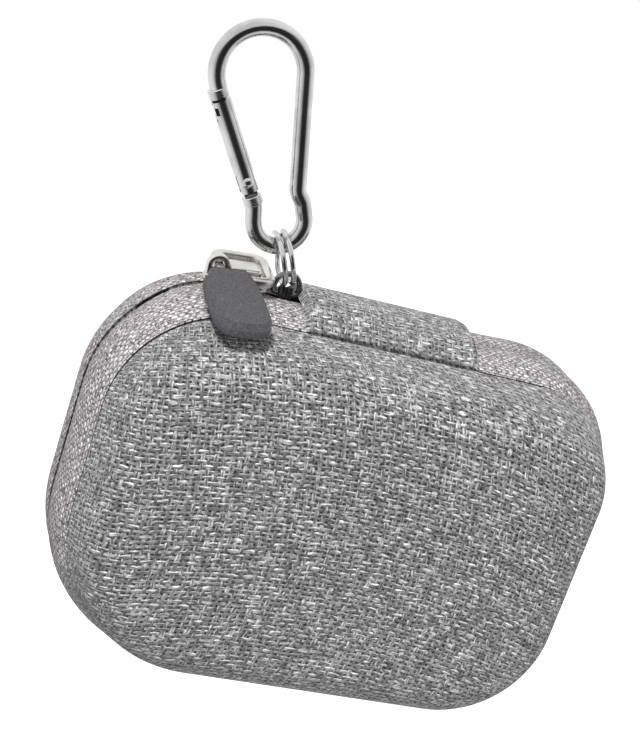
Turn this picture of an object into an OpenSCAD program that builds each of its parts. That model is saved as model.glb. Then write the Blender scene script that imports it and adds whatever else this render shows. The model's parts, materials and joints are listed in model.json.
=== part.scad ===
// Hard earbud case with a zip round three sides, a fabric hinge, a split ring and a snap hook.
// Lengths are in millimetres. The origin is the inner top of the snap hook, where a strap bears,
// +Z is up as the case hangs, and the case's flat faces look along -Y (front) and +Y (back).

/* [Case] */
// Length of the case along the zip line
case_w = 86; // [82:1:92]
// Height of the case along the zip line
case_h = 61.6; // [58:0.2:66]
// Depth of each half, from the zip line to its flat face
half_depth = 19.7; // [18.5:0.1:23]
// Corner radius, top right
corner_tr = 18.4; // [16:0.2:21]
// Corner radius, top left
corner_tl = 19.6; // [16:0.2:22]
// Corner radius, bottom left
corner_bl = 24.2; // [18:0.2:26]
// Corner radius, bottom right
corner_br = 20.4; // [17:0.2:23]
// Lean of the case as it hangs by its corner, in degrees
hang_lean = 24.2; // [20:0.1:32]

/* [Shell layers] */
// Thickness of the outer fabric
fabric_t = 0.7; // [0.5:0.1:0.9]
// Thickness of the moulded foam shell
foam_t = 2.2; // [1.6:0.1:2.6]
// Thickness of the lining
lining_t = 0.5; // [0.4:0.1:0.7]
// Glue line left between two layers
glue_gap = 0.05; // [0.02:0.01:0.1]
// Draft of the side wall, in degrees
wall_draft = 19; // [14:1:24]
// Radius between the side wall and the flat face
edge_r = 7.3; // [6:0.1:8]

/* [Zip] */
// Depth from the zip line to the lip where the tape goes under the fabric
tape_w = 10.2; // [9:0.1:11]
// Inset of the fabric lip from the zip line
lip_inset = 1.3; // [1:0.1:1.8]
// How far the tape bulges between the zip line and the lip
tape_crown = 1.2; // [0.6:0.1:1.4]
// Thickness of the tape
tape_t = 0.6; // [0.4:0.05:0.7]
// Share of the wall above the lip that the tape is tucked up
tape_tuck = 0.74; // [0.55:0.01:0.85]
// Slot between the two tapes
zip_slot = 0.7; // [0.6:0.02:0.9]
// Distance from one tooth to the next on one tape
tooth_pitch = 2.6; // [2.4:0.1:3.2]
// Width of a tooth along the zip
tooth_w = 0.9; // [0.7:0.05:1]
// Height of a tooth
tooth_h = 1.1; // [0.9:0.05:1.2]

/* [Hinge] */
// Half the length of the hinge
hinge_half = 14.4; // [13:0.1:16]
// Height of the rolled hinge above the zip line
hinge_rise = 2.7; // [2:0.1:3.2]
// Thickness of the hinge fabric
hinge_fabric_t = 0.9; // [0.7:0.05:1]
// Thickness of the strap that the case folds on
hinge_strap_t = 1.0; // [0.8:0.1:1.3]

/* [Slider] */
// Distance of the slider's middle from the D ring's middle
slider_beside = 8.1; // [8:0.1:9.5]
// Length of the slider
slider_len = 10.2; // [9.6:0.1:10.4]
// Width of the slider
slider_w = 7.2; // [6.4:0.1:8]
// Thickness of the slider's plates
slider_t = 1.2; // [1:0.05:1.3]
// Diameter of the pull ring's bar
pull_bar_d = 1.5; // [1.3:0.05:1.6]
// Length of the pull ring between bar middles
pull_len = 7.6; // [7.2:0.1:8]
// Width of the pull ring between bar middles
pull_w = 9.4; // [9.2:0.1:9.8]
// Corner radius of the pull ring at the bar's middle
pull_corner = 1.8; // [1.6:0.1:2.2]

/* [Pull tab] */
// Length of the rubber tab
tab_len = 13.6; // [12:0.1:14]
// Greatest width of the rubber tab
tab_w = 10.0; // [9:0.1:10.4]
// Width of the tab's top edge
tab_top_w = 5.2; // [4.8:0.1:5.6]
// Thickness of the tab
tab_t = 2.8; // [2.7:0.1:3.2]
// Height of the bevel round the tab's front
tab_bevel = 0.6; // [0.3:0.05:0.8]
// Slope of the tab as it lies on the shoulder, in degrees
tab_slope = 22; // [21:0.5:24]
// Lean of the tab towards the hinge, in degrees
tab_lean = 1; // [0:1:4]
// Tilt of the pull ring towards the tab
pull_tilt = 5; // [3:0.5:6]

/* [Snap hook] */
// Diameter of the hook's wire
wire_d = 2.6; // [2.4:0.05:2.8]
// Radius of the top bend at the middle of the wire
bend_r = 6.6; // [6:0.1:7.4]
// Radius of the bottom eye at the middle of the wire
eye_r = 3.9; // [3.7:0.05:4.4]
// Height from the inner top to the middle of the eye's bottom wire
hook_drop = 32; // [30:0.5:36]
// Half the width between the legs at the kink
kink_half = 3.35; // [3.2:0.05:3.6]
// Diameter of the gate tube and of the collars
gate_d = 3.0; // [2.9:0.05:3.2]
// Diameter of the gate's rivet
rivet_d = 1.1; // [1:0.05:1.2]
// Thickness of the flattened tongues at the gate's ends
tongue_t = 1.1; // [1:0.05:1.2]
// Diameter of the latch pin
latch_d = 0.9; // [0.8:0.05:1]
// Clearance between sliding metal faces
slide_gap = 0.15; // [0.12:0.01:0.2]
// Radial clearance of the rivet in the frame
rivet_gap = 0.05; // [0.02:0.01:0.08]
// Radial clearance of a pin that is set fast in its hole
set_gap = 0.02; // [0.01:0.01:0.03]

/* [Rings] */
// Diameter of the split ring's wire
ring_wire = 0.85; // [0.8:0.01:0.9]
// Outer diameter of the split ring
ring_od = 8.8; // [8.7:0.1:10]
// Distance between the middles of the split ring's two turns
ring_pitch = 1.27; // [1.26:0.01:1.3]
// Diameter of the wire of the D ring on the case
dee_wire = 0.9; // [0.85:0.05:1]
// Radius of the D ring at the middle of its wire
dee_r = 2.0; // [1.95:0.05:2.2]
// Distance of the D ring's middle from the end of the hinge roll
dee_beside = 2.6; // [2.6:0.05:2.8]
// Height of the D ring's bar above the zip line
dee_bar_z = 1.0; // [1:0.05:1.2]
// Height of the D ring's legs
dee_leg = 1.1; // [1.1:0.1:1.4]
// Clearance between two rings that hang in each other
ring_gap = 0.3; // [0.25:0.05:0.4]

/* [Hidden] */
$fn = 48;
half_w = case_w / 2;
half_h = case_h / 2;
extent = [half_w, half_h, half_w, half_h];
corner = [corner_tr, corner_tl, corner_bl, corner_br];
fabric_grey = [0.59, 0.59, 0.59];
tape_grey = [0.64, 0.61, 0.62];
foam_black = [0.16, 0.16, 0.17];
lining_grey = [0.22, 0.22, 0.24];
steel = [0.78, 0.78, 0.79];
dark_steel = [0.3, 0.3, 0.31];
rubber_grey = [0.38, 0.38, 0.40];

// Side wall of the shell: a straight drafted line from the lip, then an arc on to the flat face.
// Points are [inset from the zip line's outline, depth from the zip line].
arc_depth = half_depth - edge_r;
wall_run = (arc_depth + edge_r * sin(wall_draft) - tape_w) / cos(wall_draft);
arc_inset = lip_inset + wall_run * sin(wall_draft) + edge_r * cos(wall_draft);
arc_steps = 7;
function wall_at(off, depth) =
    [lip_inset + (depth - tape_w) * tan(wall_draft) + off / cos(wall_draft), depth];
function edge_arc(off) = [for (i = [0:arc_steps])
    let (a = wall_draft + (90 - wall_draft) * i / arc_steps)
    [arc_inset - (edge_r - off) * cos(a), arc_depth + (edge_r - off) * sin(a)]];
function edge_line(off, depth) = concat([wall_at(off, depth)], edge_arc(off));
function reversed(list) = [for (i = [len(list) - 1:-1:0]) list[i]];

// Depths at which the layers start, inwards from the fabric's lip
foam_start = tape_w + 0.2;
tuck_end = tape_w + tape_tuck * wall_run * cos(wall_draft);
rebate = fabric_t + tape_t + 2 * glue_gap;
foam_out = fabric_t + glue_gap;
lining_out = foam_out + foam_t + glue_gap;
lining_in = lining_out + lining_t;
join = 0.5;

// Outline of the zip line drawn in by an inset
module outline(inset) {
    for (k = [0:3]) rotate([0, 0, 90 * k])
        translate([extent[k] - corner[k], extent[(k + 1) % 4] - corner[k]])
            circle(r = corner[k] - inset);
    polygon([for (k = [0:3]) for (side = [0, 1])
        let (e = extent[k], n = extent[(k + 1) % 4], r = corner[k])
        let (p = side == 0 ? [e - inset, n - r] : [e - r, n - inset], a = 90 * k)
        [p[0] * cos(a) - p[1] * sin(a), p[0] * sin(a) + p[1] * cos(a)]]);
}

// Stretch of a profile along one straight side; side 1 is the top
module stretch(k, from, to) {
    rotate([0, 0, 90 * k]) translate([extent[k], to, 0]) rotate([90, 0, 0])
        linear_extrude(to - from) mirror([1, 0]) children();
}

// Profile, drawn as inset and depth, run round the whole outline or round all but a gap at the top
module run_round(gap_right = 0, gap_left = 0) {
    for (k = [0:3]) {
        from = -(extent[(k + 1) % 4] - corner[(k + 3) % 4]);
        to = extent[(k + 1) % 4] - corner[k];
        if (k == 1 && gap_left > 0) {
            stretch(k, from, -gap_right) children();
            if (gap_left < to) stretch(k, gap_left, to) children();
        } else {
            stretch(k, from, to) children();
        }
        rotate([0, 0, 90 * k]) translate([extent[k] - corner[k], extent[(k + 1) % 4] - corner[k], 0])
            rotate_extrude(angle = 90) translate([corner[k], 0]) mirror([1, 0]) children();
    }
}

// The case's own frame, hung by the D ring from the split ring
ring_r = (ring_od - ring_wire) / 2;
ring_z = -hook_drop - (ring_r - ring_wire / 2 - ring_gap - wire_d / 2);
bear_z = ring_z - ring_r;
bear_up = sqrt(pow(dee_r - dee_wire / 2 - ring_wire / 2 - slide_gap, 2) - pow(ring_pitch / 2, 2));
dee_off = hinge_half + dee_beside;
slider_off = dee_off + slider_beside;
dee_centre = [-dee_off, 0, half_h + dee_bar_z + dee_leg];
bear_point = dee_centre + bear_up * [-sin(hang_lean), 0, cos(hang_lean)];
module hang() {
    translate([0, 0, bear_z]) rotate([0, hang_lean, 0]) translate(-bear_point) children();
}
module front_half() {
    hang() rotate([90, 0, 0]) children();
}
module back_half() {
    hang() mirror([0, 1, 0]) rotate([90, 0, 0]) children();
}

// Layers of a moulded half
module layer(profile, face_out, face_in) {
    run_round() polygon(profile);
    translate([0, 0, half_depth - face_in]) linear_extrude(face_in - face_out) outline(arc_inset);
}
module fabric_skin() {
    color(fabric_grey) layer(
        concat(edge_line(0, tape_w), [[arc_inset + join, half_depth], [arc_inset + join, half_depth - fabric_t]],
               reversed(edge_line(fabric_t, tape_w))), 0, fabric_t);
}
module foam_shell() {
    inner = foam_out + foam_t;
    color(foam_black) layer(
        concat([wall_at(rebate, foam_start), wall_at(rebate, tuck_end + glue_gap),
                wall_at(foam_out, tuck_end + glue_gap)], edge_arc(foam_out),
               [[arc_inset + join, half_depth - foam_out], [arc_inset + join, half_depth - inner]],
               reversed(edge_line(inner, foam_start))), foam_out, inner);
}
module lining_skin() {
    color(lining_grey) layer(
        concat(edge_line(lining_out, foam_start),
               [[arc_inset + join, half_depth - lining_out], [arc_inset + join, half_depth - lining_in]],
               reversed(edge_line(lining_in, foam_start))), lining_out, lining_in);
}

// Binding sewn inside the rim, over the foam's edge and the tape's root
bind_h = 1.0;
bind_gap = 0.1;
bind_in = wall_at(lining_in, foam_start)[0];
tape_root = wall_at(rebate, tape_w)[0] + bind_gap;
module rim_binding() {
    color(lining_grey) run_round()
        translate([tape_root, foam_start - bind_gap - bind_h]) square([bind_in - tape_root, bind_h]);
}

// Zip tape: crowned between the slot and the lip, then tucked under the lip
tape_steps = 6;
tuck_out = fabric_t + glue_gap;
function tape_line(off) = [for (i = [0:tape_steps])
    let (t = i / tape_steps, depth = zip_slot / 2 + (tape_w - zip_slot / 2) * t)
    [off + wall_at(tuck_out, tape_w)[0] * t - tape_crown * 4 * t * (1 - t), depth]];
module zip_tape() {
    color(tape_grey) run_round(hinge_half, hinge_half) polygon(concat(
        tape_line(0), [wall_at(tuck_out, tuck_end)],
        [wall_at(tuck_out, tuck_end) + [tape_t / cos(wall_draft), 0]], reversed(tape_line(tape_t))));
}

// Teeth along the inner edge of a tape, one tape's between the other's
rail_w = 1.1;
rail_h = 0.8;
tooth_reach = 0.45;
tooth_in = tape_t + 0.1;
zip_end = 1.2;
chain_gap_right = hinge_half + zip_end;
chain_gap_left = slider_off - slider_len / 2 - 0.6;
module tooth() {
    translate([-tooth_in - tooth_h, -tooth_w / 2, -tooth_reach])
        cube([tooth_h, tooth_w, tooth_reach + zip_slot / 2 + rail_h]);
}
module tooth_row(phase) {
    for (k = [0:3]) {
        low = -(extent[(k + 1) % 4] - corner[(k + 3) % 4]);
        high = extent[(k + 1) % 4] - corner[k];
        count = floor((high - low) / tooth_pitch);
        for (i = [0:count - 1]) {
            at = low + (high - low) * (i + phase) / count;
            clear_of_hinge = k != 1 || at < -chain_gap_right || (at > hinge_half + 0.8 && at < chain_gap_left);
            if (clear_of_hinge) rotate([0, 0, 90 * k]) translate([extent[k], at, 0]) tooth();
        }
        turn_count = floor(corner[k] * PI / 2 / tooth_pitch);
        for (i = [0:turn_count - 1]) {
            a = 90 * (i + phase) / turn_count;
            behind_slider = k != 1 || a > slider_turn + 1;
            if (behind_slider)
                rotate([0, 0, 90 * k]) translate([extent[k] - corner[k], extent[(k + 1) % 4] - corner[k], 0])
                    rotate([0, 0, a]) translate([corner[k], 0, 0]) tooth();
        }
    }
}
module zip_teeth(phase) {
    color(tape_grey * 0.7) tooth_row(phase);
}

// Box stop that joins the two tapes at the closed zip's far end
stop_len = 3.0;
stop_w = 3.4;
module zip_stop() {
    color(steel) hang() translate([hinge_half + 0.3, -stop_w / 2, half_h - tooth_in - tooth_h - 0.9])
        cube([stop_len * 0.28, stop_w, 0.8]);
}

// Hinge: rolled fabric over padding, and a strap and lining below them
lip_root = wall_at(tuck_out, tape_w)[0];
roll_drop = lip_root + hinge_rise;
roll_r = (pow(tape_w, 2) + pow(roll_drop, 2)) / (2 * roll_drop);
roll_steps = 8;
function roll_line(off) = [for (i = [0:roll_steps])
    let (y = tape_w * i / roll_steps)
    [-hinge_rise + roll_r - sqrt(pow(roll_r - off, 2) - pow(y * (roll_r - off) / roll_r, 2)),
     y * (roll_r - off) / roll_r]];
module along_hinge(from, to) {
    hang() for (flip = [0, 1]) mirror([0, flip, 0]) rotate([90, 0, 0])
        translate([from, half_h, 0]) rotate([0, 0, 90]) rotate([90, 0, 0])
            linear_extrude(to - from) mirror([1, 0]) children();
}
module hinge_roll() {
    tuck = wall_at(tuck_out, tuck_end);
    color(fabric_grey) along_hinge(-hinge_half, hinge_half) polygon(concat(
        roll_line(0), [tuck, tuck + [tape_t / cos(wall_draft), 0], [lip_root + tape_t / cos(wall_draft), tape_w]],
        reversed([for (i = [0:roll_steps - 1]) roll_line(hinge_fabric_t)[i]])));
}
strap_inset = tape_root;
pad_gap = 0.1;
module hinge_pad() {
    inner = roll_line(hinge_fabric_t + pad_gap);
    floor_at = strap_inset - pad_gap;
    above = [for (p = inner) if (p[0] < floor_at) p];
    edge = above[len(above) - 1];
    color(foam_black) along_hinge(-hinge_half + dee_seat, hinge_half)
        polygon(concat(above, [[floor_at, edge[1]], [floor_at, 0]]));
}
bind_edge = foam_start - bind_gap - bind_h;
module hinge_strap() {
    color(lining_grey) hang()
        translate([-hinge_half, -bind_edge + bind_gap, half_h - strap_inset - hinge_strap_t])
            cube([2 * hinge_half, 2 * (bind_edge - bind_gap), hinge_strap_t]);
}
module hinge_lining() {
    below = strap_inset + hinge_strap_t + glue_gap;
    color(lining_grey) hang()
        translate([-hinge_half, -bind_edge + bind_gap, half_h - below - lining_t])
            cube([2 * hinge_half, 2 * (bind_edge - bind_gap), lining_t]);
}

// Keeper: a folded webbing loop that holds the D ring's bar at the hinge's left end
dee_seat = 2.4;
keeper_len = 2 * (dee_r - dee_wire / 2) - 2 * ring_gap;
keeper_r = dee_wire / 2 + 0.35;
keeper_tail_w = 1.8;
keeper_tail_z = 0.25;
keeper_tail_t = 0.35;
module dee_keeper() {
    bar = [-dee_off, 0, half_h + dee_bar_z];
    color(foam_black) hang() difference() {
        union() {
            translate(bar + [-keeper_len / 2, 0, 0]) rotate([0, 90, 0]) cylinder(r = keeper_r, h = keeper_len);
            translate([-dee_off - keeper_len / 2 + 0.3, -keeper_tail_w / 2, half_h + keeper_tail_z])
                cube([dee_off - hinge_half + keeper_len / 2 + dee_seat - 0.8, keeper_tail_w, keeper_tail_t]);
        }
        translate(bar + [-keeper_len / 2 - 1, 0, 0]) rotate([0, 90, 0])
            cylinder(d = dee_wire + 2 * rivet_gap, h = keeper_len + 2);
    }
}

// D ring: a bar along the hinge, two legs and a round bow
module bow(radius, wire, angle) {
    rotate([90, 0, 0]) rotate_extrude(angle = angle) translate([radius, 0]) circle(d = wire);
}
module dee_ring() {
    color(dark_steel) hang() translate(dee_centre) {
        bow(dee_r, dee_wire, 180);
        for (side = [-1, 1]) translate([side * dee_r, 0, -dee_leg]) {
            cylinder(d = dee_wire, h = dee_leg);
            sphere(d = dee_wire);
        }
        translate([-dee_r, 0, -dee_leg]) rotate([0, 90, 0]) cylinder(d = dee_wire, h = 2 * dee_r);
    }
}

// Split ring: one wire that runs round twice less the overlap and steps over once
ring_steps = 50;
ring_sides = 8;
ring_half_run = 300;
ring_cross = 60;
function ring_x(a) = ring_pitch / 2 * (a < -ring_cross ? -1 : a > ring_cross ? 1 : sin(a * 90 / ring_cross));
function ring_point(a, radius) = [ring_x(a), radius * cos(a), radius * sin(a)];
ring_run = [for (i = [0:ring_steps]) -ring_half_run + 2 * ring_half_run * i / ring_steps];
ring_least_gap = min([for (a = ring_run) for (b = ring_run) if (b - a > 180)
    norm(ring_point(a, ring_r) - ring_point(b, ring_r)) - ring_wire]);
module split_ring() {
    points = [for (a = ring_run) for (j = [0:ring_sides - 1])
        let (s = 360 * j / ring_sides, radius = ring_r + ring_wire / 2 * cos(s))
        ring_point(a, radius) + [ring_wire / 2 * sin(s), 0, 0]];
    sides = [for (i = [0:ring_steps - 1]) for (j = [0:ring_sides - 1])
        let (n = (j + 1) % ring_sides, p = i * ring_sides)
        each [[p + j, p + ring_sides + n, p + n], [p + j, p + ring_sides + j, p + ring_sides + n]]];
    last = ring_steps * ring_sides;
    ends = [for (j = [1:ring_sides - 2]) each [[0, j, j + 1], [last, last + j + 1, last + j]]];
    color(steel) translate([0, 0, ring_z]) polyhedron(points, concat(sides, ends));
}

// Snap hook frame: one wire from the nose over the bend, down the leg, round the eye to the tongue
bend_z = wire_d / 2 - bend_r;
eye_z = -hook_drop + eye_r;
kink_up = 4.1;
neck_up = 3.3;
kink_z = eye_z + kink_up;
neck_z = eye_z + neck_up;
kink_depth = bend_z - kink_z;
leg_span = sqrt(pow(kink_half, 2) + pow(kink_depth, 2));
leg_lean = asin(bend_r / leg_span) - atan(kink_half / kink_depth);
leg_len = sqrt(pow(leg_span, 2) - pow(bend_r, 2));
collar_len = 1.5;
elbow_r = 2.6;
tail = 1.6;
pivot_up = collar_len + tail + 0.75;
thin = 0.02;
poke = 0.2;
module rod(from, to) {
    span = to - from;
    translate(from) rotate([0, atan2(span[0], span[2]), 0]) translate([0, 0, -poke])
        cylinder(d = wire_d - thin, h = norm(span) + 2 * poke);
}
// Bend of the wire at a corner, from the point before it to the point after it
function unit(v) = v / norm(v);
function heading(v) = atan2(v[0], v[2]);
function turn(before, at, after) = let (a = heading(after - at) - heading(at - before))
    a > 180 ? a - 360 : a < -180 ? a + 360 : a;
function set_back(before, at, after) = elbow_r * tan(abs(turn(before, at, after)) / 2);
module elbow(before, at, after) {
    t = turn(before, at, after);
    translate(at - unit(at - before) * set_back(before, at, after)) rotate([0, heading(at - before), 0])
        mirror([t > 0 ? 1 : 0, 0, 0]) translate([-elbow_r, 0, 0]) bow(elbow_r, wire_d, abs(t));
}
// Wire through a list of points, with a bend at each one but the first and last
module bent_wire(points) {
    last = len(points) - 1;
    back_by = [for (i = [0:last]) i == 0 || i == last ? 0 : set_back(points[i - 1], points[i], points[i + 1])];
    for (i = [1:last]) {
        way = unit(points[i] - points[i - 1]);
        rod(points[i - 1] + way * back_by[i - 1], points[i] - way * back_by[i]);
        if (i < last) elbow(points[i - 1], points[i], points[i + 1]);
    }
}
// The gate's line, from the neck up to the nose; its own frame has +Z along that line
neck = [-kink_half + (neck_z - kink_z) * tan(leg_lean), 0, neck_z];
neck_end = neck + 1.0 * [-sin(leg_lean), 0, cos(leg_lean)];
module gate_line() {
    translate(neck) rotate([0, -leg_lean, 0]) children();
}
gate_span = leg_len + (kink_z - neck_z) / cos(leg_lean);
nose_tip = gate_span - collar_len;
gate_top = nose_tip - 2 * slide_gap;
gate_bottom = pivot_up - tail;
tongue_w = 2.0;
nose_tongue = 3.0;
latch_at = nose_tip - 1.7;
module hook_frame() {
    leg_top = [bend_r * cos(leg_lean), 0, bend_z - bend_r * sin(leg_lean)];
    color(steel) difference() {
        union() {
            translate([0, 0, bend_z]) rotate([0, leg_lean, 0]) bow(bend_r, wire_d, 180 + 2 * leg_lean);
            bent_wire([leg_top, [kink_half, 0, kink_z], [eye_r, 0, eye_z + 2.4], [eye_r, 0, eye_z]]);
            translate([0, 0, eye_z]) rotate([0, 180, 0]) bow(eye_r, wire_d, 180);
            bent_wire([[-eye_r, 0, eye_z], [-eye_r, 0, eye_z + 0.8], neck, neck_end]);
            gate_line() {
                cylinder(d = gate_d, h = collar_len);
                translate([-tongue_w / 2, -tongue_t / 2, 0]) cube([tongue_w, tongue_t, pivot_up]);
                translate([0, tongue_t / 2, pivot_up]) rotate([90, 0, 0]) cylinder(d = tongue_w, h = tongue_t);
                translate([0, 0, nose_tip]) cylinder(d = gate_d, h = collar_len + 0.3);
                translate([-wire_d / 2, -tongue_t / 2, nose_tip - nose_tongue])
                    cube([tongue_w, tongue_t, nose_tongue + 0.2]);
            }
        }
        gate_line() {
            translate([0, gate_d, pivot_up]) rotate([90, 0, 0]) cylinder(d = rivet_d + 2 * rivet_gap, h = 2 * gate_d);
            translate([0, gate_d, latch_at]) rotate([90, 0, 0]) cylinder(d = latch_d + 2 * set_gap, h = 2 * gate_d);
        }
    }
}
latch_len = 2.2;
module latch_pin() {
    color(steel) gate_line() translate([0, latch_len / 2, latch_at]) rotate([90, 0, 0])
        cylinder(d = latch_d, h = latch_len);
}

// Gate: a tube with a slot at each end, a rivet low down and a spring that pushes on the tongue
head_d = 1.7;
seat_y = gate_d / 2 - 0.2;
spring_bore = 1.7;
spring_from = pivot_up + tongue_w / 2 + slide_gap;
spring_len = 7.8;
spring_to = spring_from + spring_len;
tail_slot_top = pivot_up + 1.4;
outer_side = -gate_d;
module gate() {
    slot = tongue_t + 2 * slide_gap;
    wall_in = -wire_d / 2 + tongue_w + slide_gap;
    color(steel) gate_line() difference() {
        translate([0, 0, gate_bottom]) cylinder(d = gate_d, h = gate_top - gate_bottom);
        translate([outer_side, -slot / 2, gate_bottom - 1]) cube([2 * gate_d, slot, tail_slot_top - gate_bottom + 1]);
        translate([outer_side, -slot / 2, nose_tip - nose_tongue - slide_gap])
            cube([wall_in - outer_side, slot, nose_tongue + 1]);
        translate([outer_side, -latch_len / 2 - slide_gap, latch_at - latch_d / 2 - slide_gap])
            cube([wall_in - outer_side, latch_len + 2 * slide_gap, latch_d + 2 * slide_gap]);
        translate([0, 0, pivot_up + 1]) cylinder(d = spring_bore, h = spring_to - pivot_up - 1);
        translate([0, gate_d, pivot_up]) rotate([90, 0, 0]) cylinder(d = rivet_d + 2 * set_gap, h = 2 * gate_d);
        for (side = [0, 1]) mirror([0, side, 0]) translate([0, gate_d, pivot_up]) rotate([90, 0, 0])
            cylinder(d = head_d + 2 * set_gap, h = gate_d - seat_y);
    }
}
module gate_rivet() {
    dome_r = 1.2;
    dome_base = sqrt(pow(dome_r, 2) - pow(head_d / 2, 2));
    color(steel) gate_line() translate([0, 0, pivot_up]) {
        translate([0, seat_y + 0.05, 0]) rotate([90, 0, 0]) cylinder(d = rivet_d, h = 2 * seat_y + 0.1);
        for (side = [0, 1]) mirror([0, side, 0]) intersection() {
            translate([0, seat_y + 0.1 - dome_base, 0]) sphere(r = dome_r);
            translate([0, seat_y + 1, 0]) rotate([90, 0, 0]) cylinder(d = head_d, h = 1 - set_gap);
        }
    }
}
plunger_len = 2.2;
module gate_plunger() {
    color(steel) gate_line() translate([0, 0, spring_from])
        cylinder(d = spring_bore - slide_gap, h = plunger_len);
}
module gate_spring() {
    color(dark_steel) gate_line() translate([0, 0, spring_from + plunger_len]) difference() {
        cylinder(d = spring_bore - slide_gap, h = spring_to - spring_from - plunger_len);
        translate([0, 0, -1]) cylinder(d = spring_bore - 0.7, h = spring_to);
    }
}

// Slider: top plate with a bridge, a wedge between the tapes and a plate below the teeth
plate_up = 0.75;
plate_down = tooth_in + tooth_h + 1.0;
plate_t_low = 0.9;
bridge_d = 0.85;
bridge_in = pull_bar_d / 2 + 0.2;
bridge_w = 1.6;
bridge_off = bridge_in + bridge_d;
pull_x = -slider_len / 2 + bridge_off + 0.3;
pull_z = plate_up + slider_t + pull_bar_d / 2 + ring_gap + 0.2;
bridge_leg = pull_z - plate_up - slider_t;
wedge_len = 3;
slider_turn = asin((slider_off - (half_w - corner_tl)) / corner_tl);
module on_slider() {
    hang() translate([-half_w + corner_tl, 0, half_h - corner_tl]) rotate([0, -slider_turn, 0])
        translate([0, 0, corner_tl]) children();
}
module slider_plate(w, h) {
    nose_r = w * 0.36;
    tail_r = w * 0.28;
    linear_extrude(h) {
        polygon([[-slider_len / 2 + nose_r, -nose_r], [slider_len / 2 - tail_r, -w / 2],
                 [slider_len / 2, -w / 2 + tail_r], [slider_len / 2, w / 2 - tail_r],
                 [slider_len / 2 - tail_r, w / 2], [-slider_len / 2 + nose_r, nose_r]]);
        translate([-slider_len / 2 + nose_r, 0]) circle(r = nose_r);
        for (side = [-1, 1]) translate([slider_len / 2 - tail_r, side * (w / 2 - tail_r)]) circle(r = tail_r);
    }
}
module slider_body() {
    color(steel) on_slider() {
        translate([0, 0, plate_up]) slider_plate(slider_w, slider_t);
        translate([0, 0, -plate_down - plate_t_low]) slider_plate(slider_w - 1.2, plate_t_low);
        translate([slider_len / 2 - wedge_len - 1.2, -(zip_slot - 0.2) / 2, -plate_down - 0.1])
            cube([wedge_len, zip_slot - 0.2, plate_up + plate_down + 0.2]);
        translate([pull_x, 0, plate_up + slider_t]) {
            for (side = [-1, 1]) translate([side * (bridge_in + bridge_d / 2) - bridge_d / 2, -bridge_w / 2, -0.1])
                cube([bridge_d, bridge_w, bridge_leg + 0.1]);
            translate([0, 0, bridge_leg]) rotate([90, 0, 0]) rotate_extrude(angle = 180)
                translate([bridge_in, -bridge_w / 2]) square([bridge_d, bridge_w]);
        }
    }
}

// Pull ring: a rounded oblong loop that lies over the slider, one end under the bridge
module pull_ring() {
    inner_l = pull_len - 2 * pull_corner;
    inner_w = pull_w - 2 * pull_corner;
    color(steel) on_slider() translate([pull_x + pull_len / 2, 0, pull_z]) rotate([pull_tilt, 0, 0]) {
        for (k = [0:3]) rotate([0, 0, 90 * k]) {
            along = k % 2 == 0 ? inner_w : inner_l;
            across = k % 2 == 0 ? pull_len / 2 : pull_w / 2;
            translate([across, -along / 2, 0]) rotate([-90, 0, 0]) cylinder(d = pull_bar_d, h = along);
            translate([across - pull_corner, along / 2, 0])
                rotate_extrude(angle = 90) translate([pull_corner, 0]) circle(d = pull_bar_d);
        }
    }
}

// Rubber tab: a shield with a bevelled front, bored for the ring's front bar and hollowed for its corner
tab_gap = 0.2;
tab_top = 0.7;
lug_w = 1.9;
lug_r = pull_bar_d / 2 + slide_gap + 0.44;
lug_x = pull_x + pull_corner + lug_w / 2 + 0.1;
tab_aside = lug_w / 2 - tab_top_w / 2 + 0.05;
pocket_up = pull_bar_d / 2 + 0.2;
pocket_down = -pull_bar_d / 2 - 0.25;
shoulder = [-arc_depth - edge_r * sin(tab_slope), -arc_inset + edge_r * cos(tab_slope)];
tab_up = -shoulder[0] * sin(tab_slope) + shoulder[1] * cos(tab_slope) + tab_gap;
bar_y = -pull_w / 2 * cos(pull_tilt);
bar_z = pull_z - pull_w / 2 * sin(pull_tilt);
bar_up = -bar_y * sin(tab_slope) + bar_z * cos(tab_slope);
module on_bar() {
    on_slider() translate([lug_x, bar_y, bar_z]) rotate([tab_slope, 0, 0]) children();
}
module tab_outline(inset) {
    top = tab_top_w / 2 - inset;
    wide = tab_w / 2 - inset;
    round_r = 2.6 - inset;
    top_r = 1.0 - inset * 0.5;
    side_at = tab_len * 0.62;
    bottom = tab_len - inset;
    bulge_r = (pow(side_at, 2) + pow(tab_w / 2 - tab_top_w / 2, 2)) / (tab_w - tab_top_w) - inset;
    polygon(concat(
        [[-top + top_r, -inset], [top - top_r, -inset], [top, -inset - top_r]],
        [for (i = [1:6]) let (d = side_at * i / 6, u = 1 - i / 6)
            [wide - (wide - top) * u * u, -d]],
        [for (i = [0:5]) let (a = -90 * i / 5)
            [wide - round_r + round_r * cos(a), -bottom + round_r + round_r * sin(a) - 0.6 * sin(-a)]],
        [[0, -bottom - 0.6]],
        [for (i = [5:-1:0]) let (a = -90 * i / 5)
            [-wide + round_r - round_r * cos(a), -bottom + round_r + round_r * sin(a) - 0.6 * sin(-a)]],
        [for (i = [6:-1:1]) let (d = side_at * i / 6, u = 1 - i / 6)
            [-wide + (wide - top) * u * u, -d]],
        [[-top, -inset - top_r]]));
}
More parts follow.
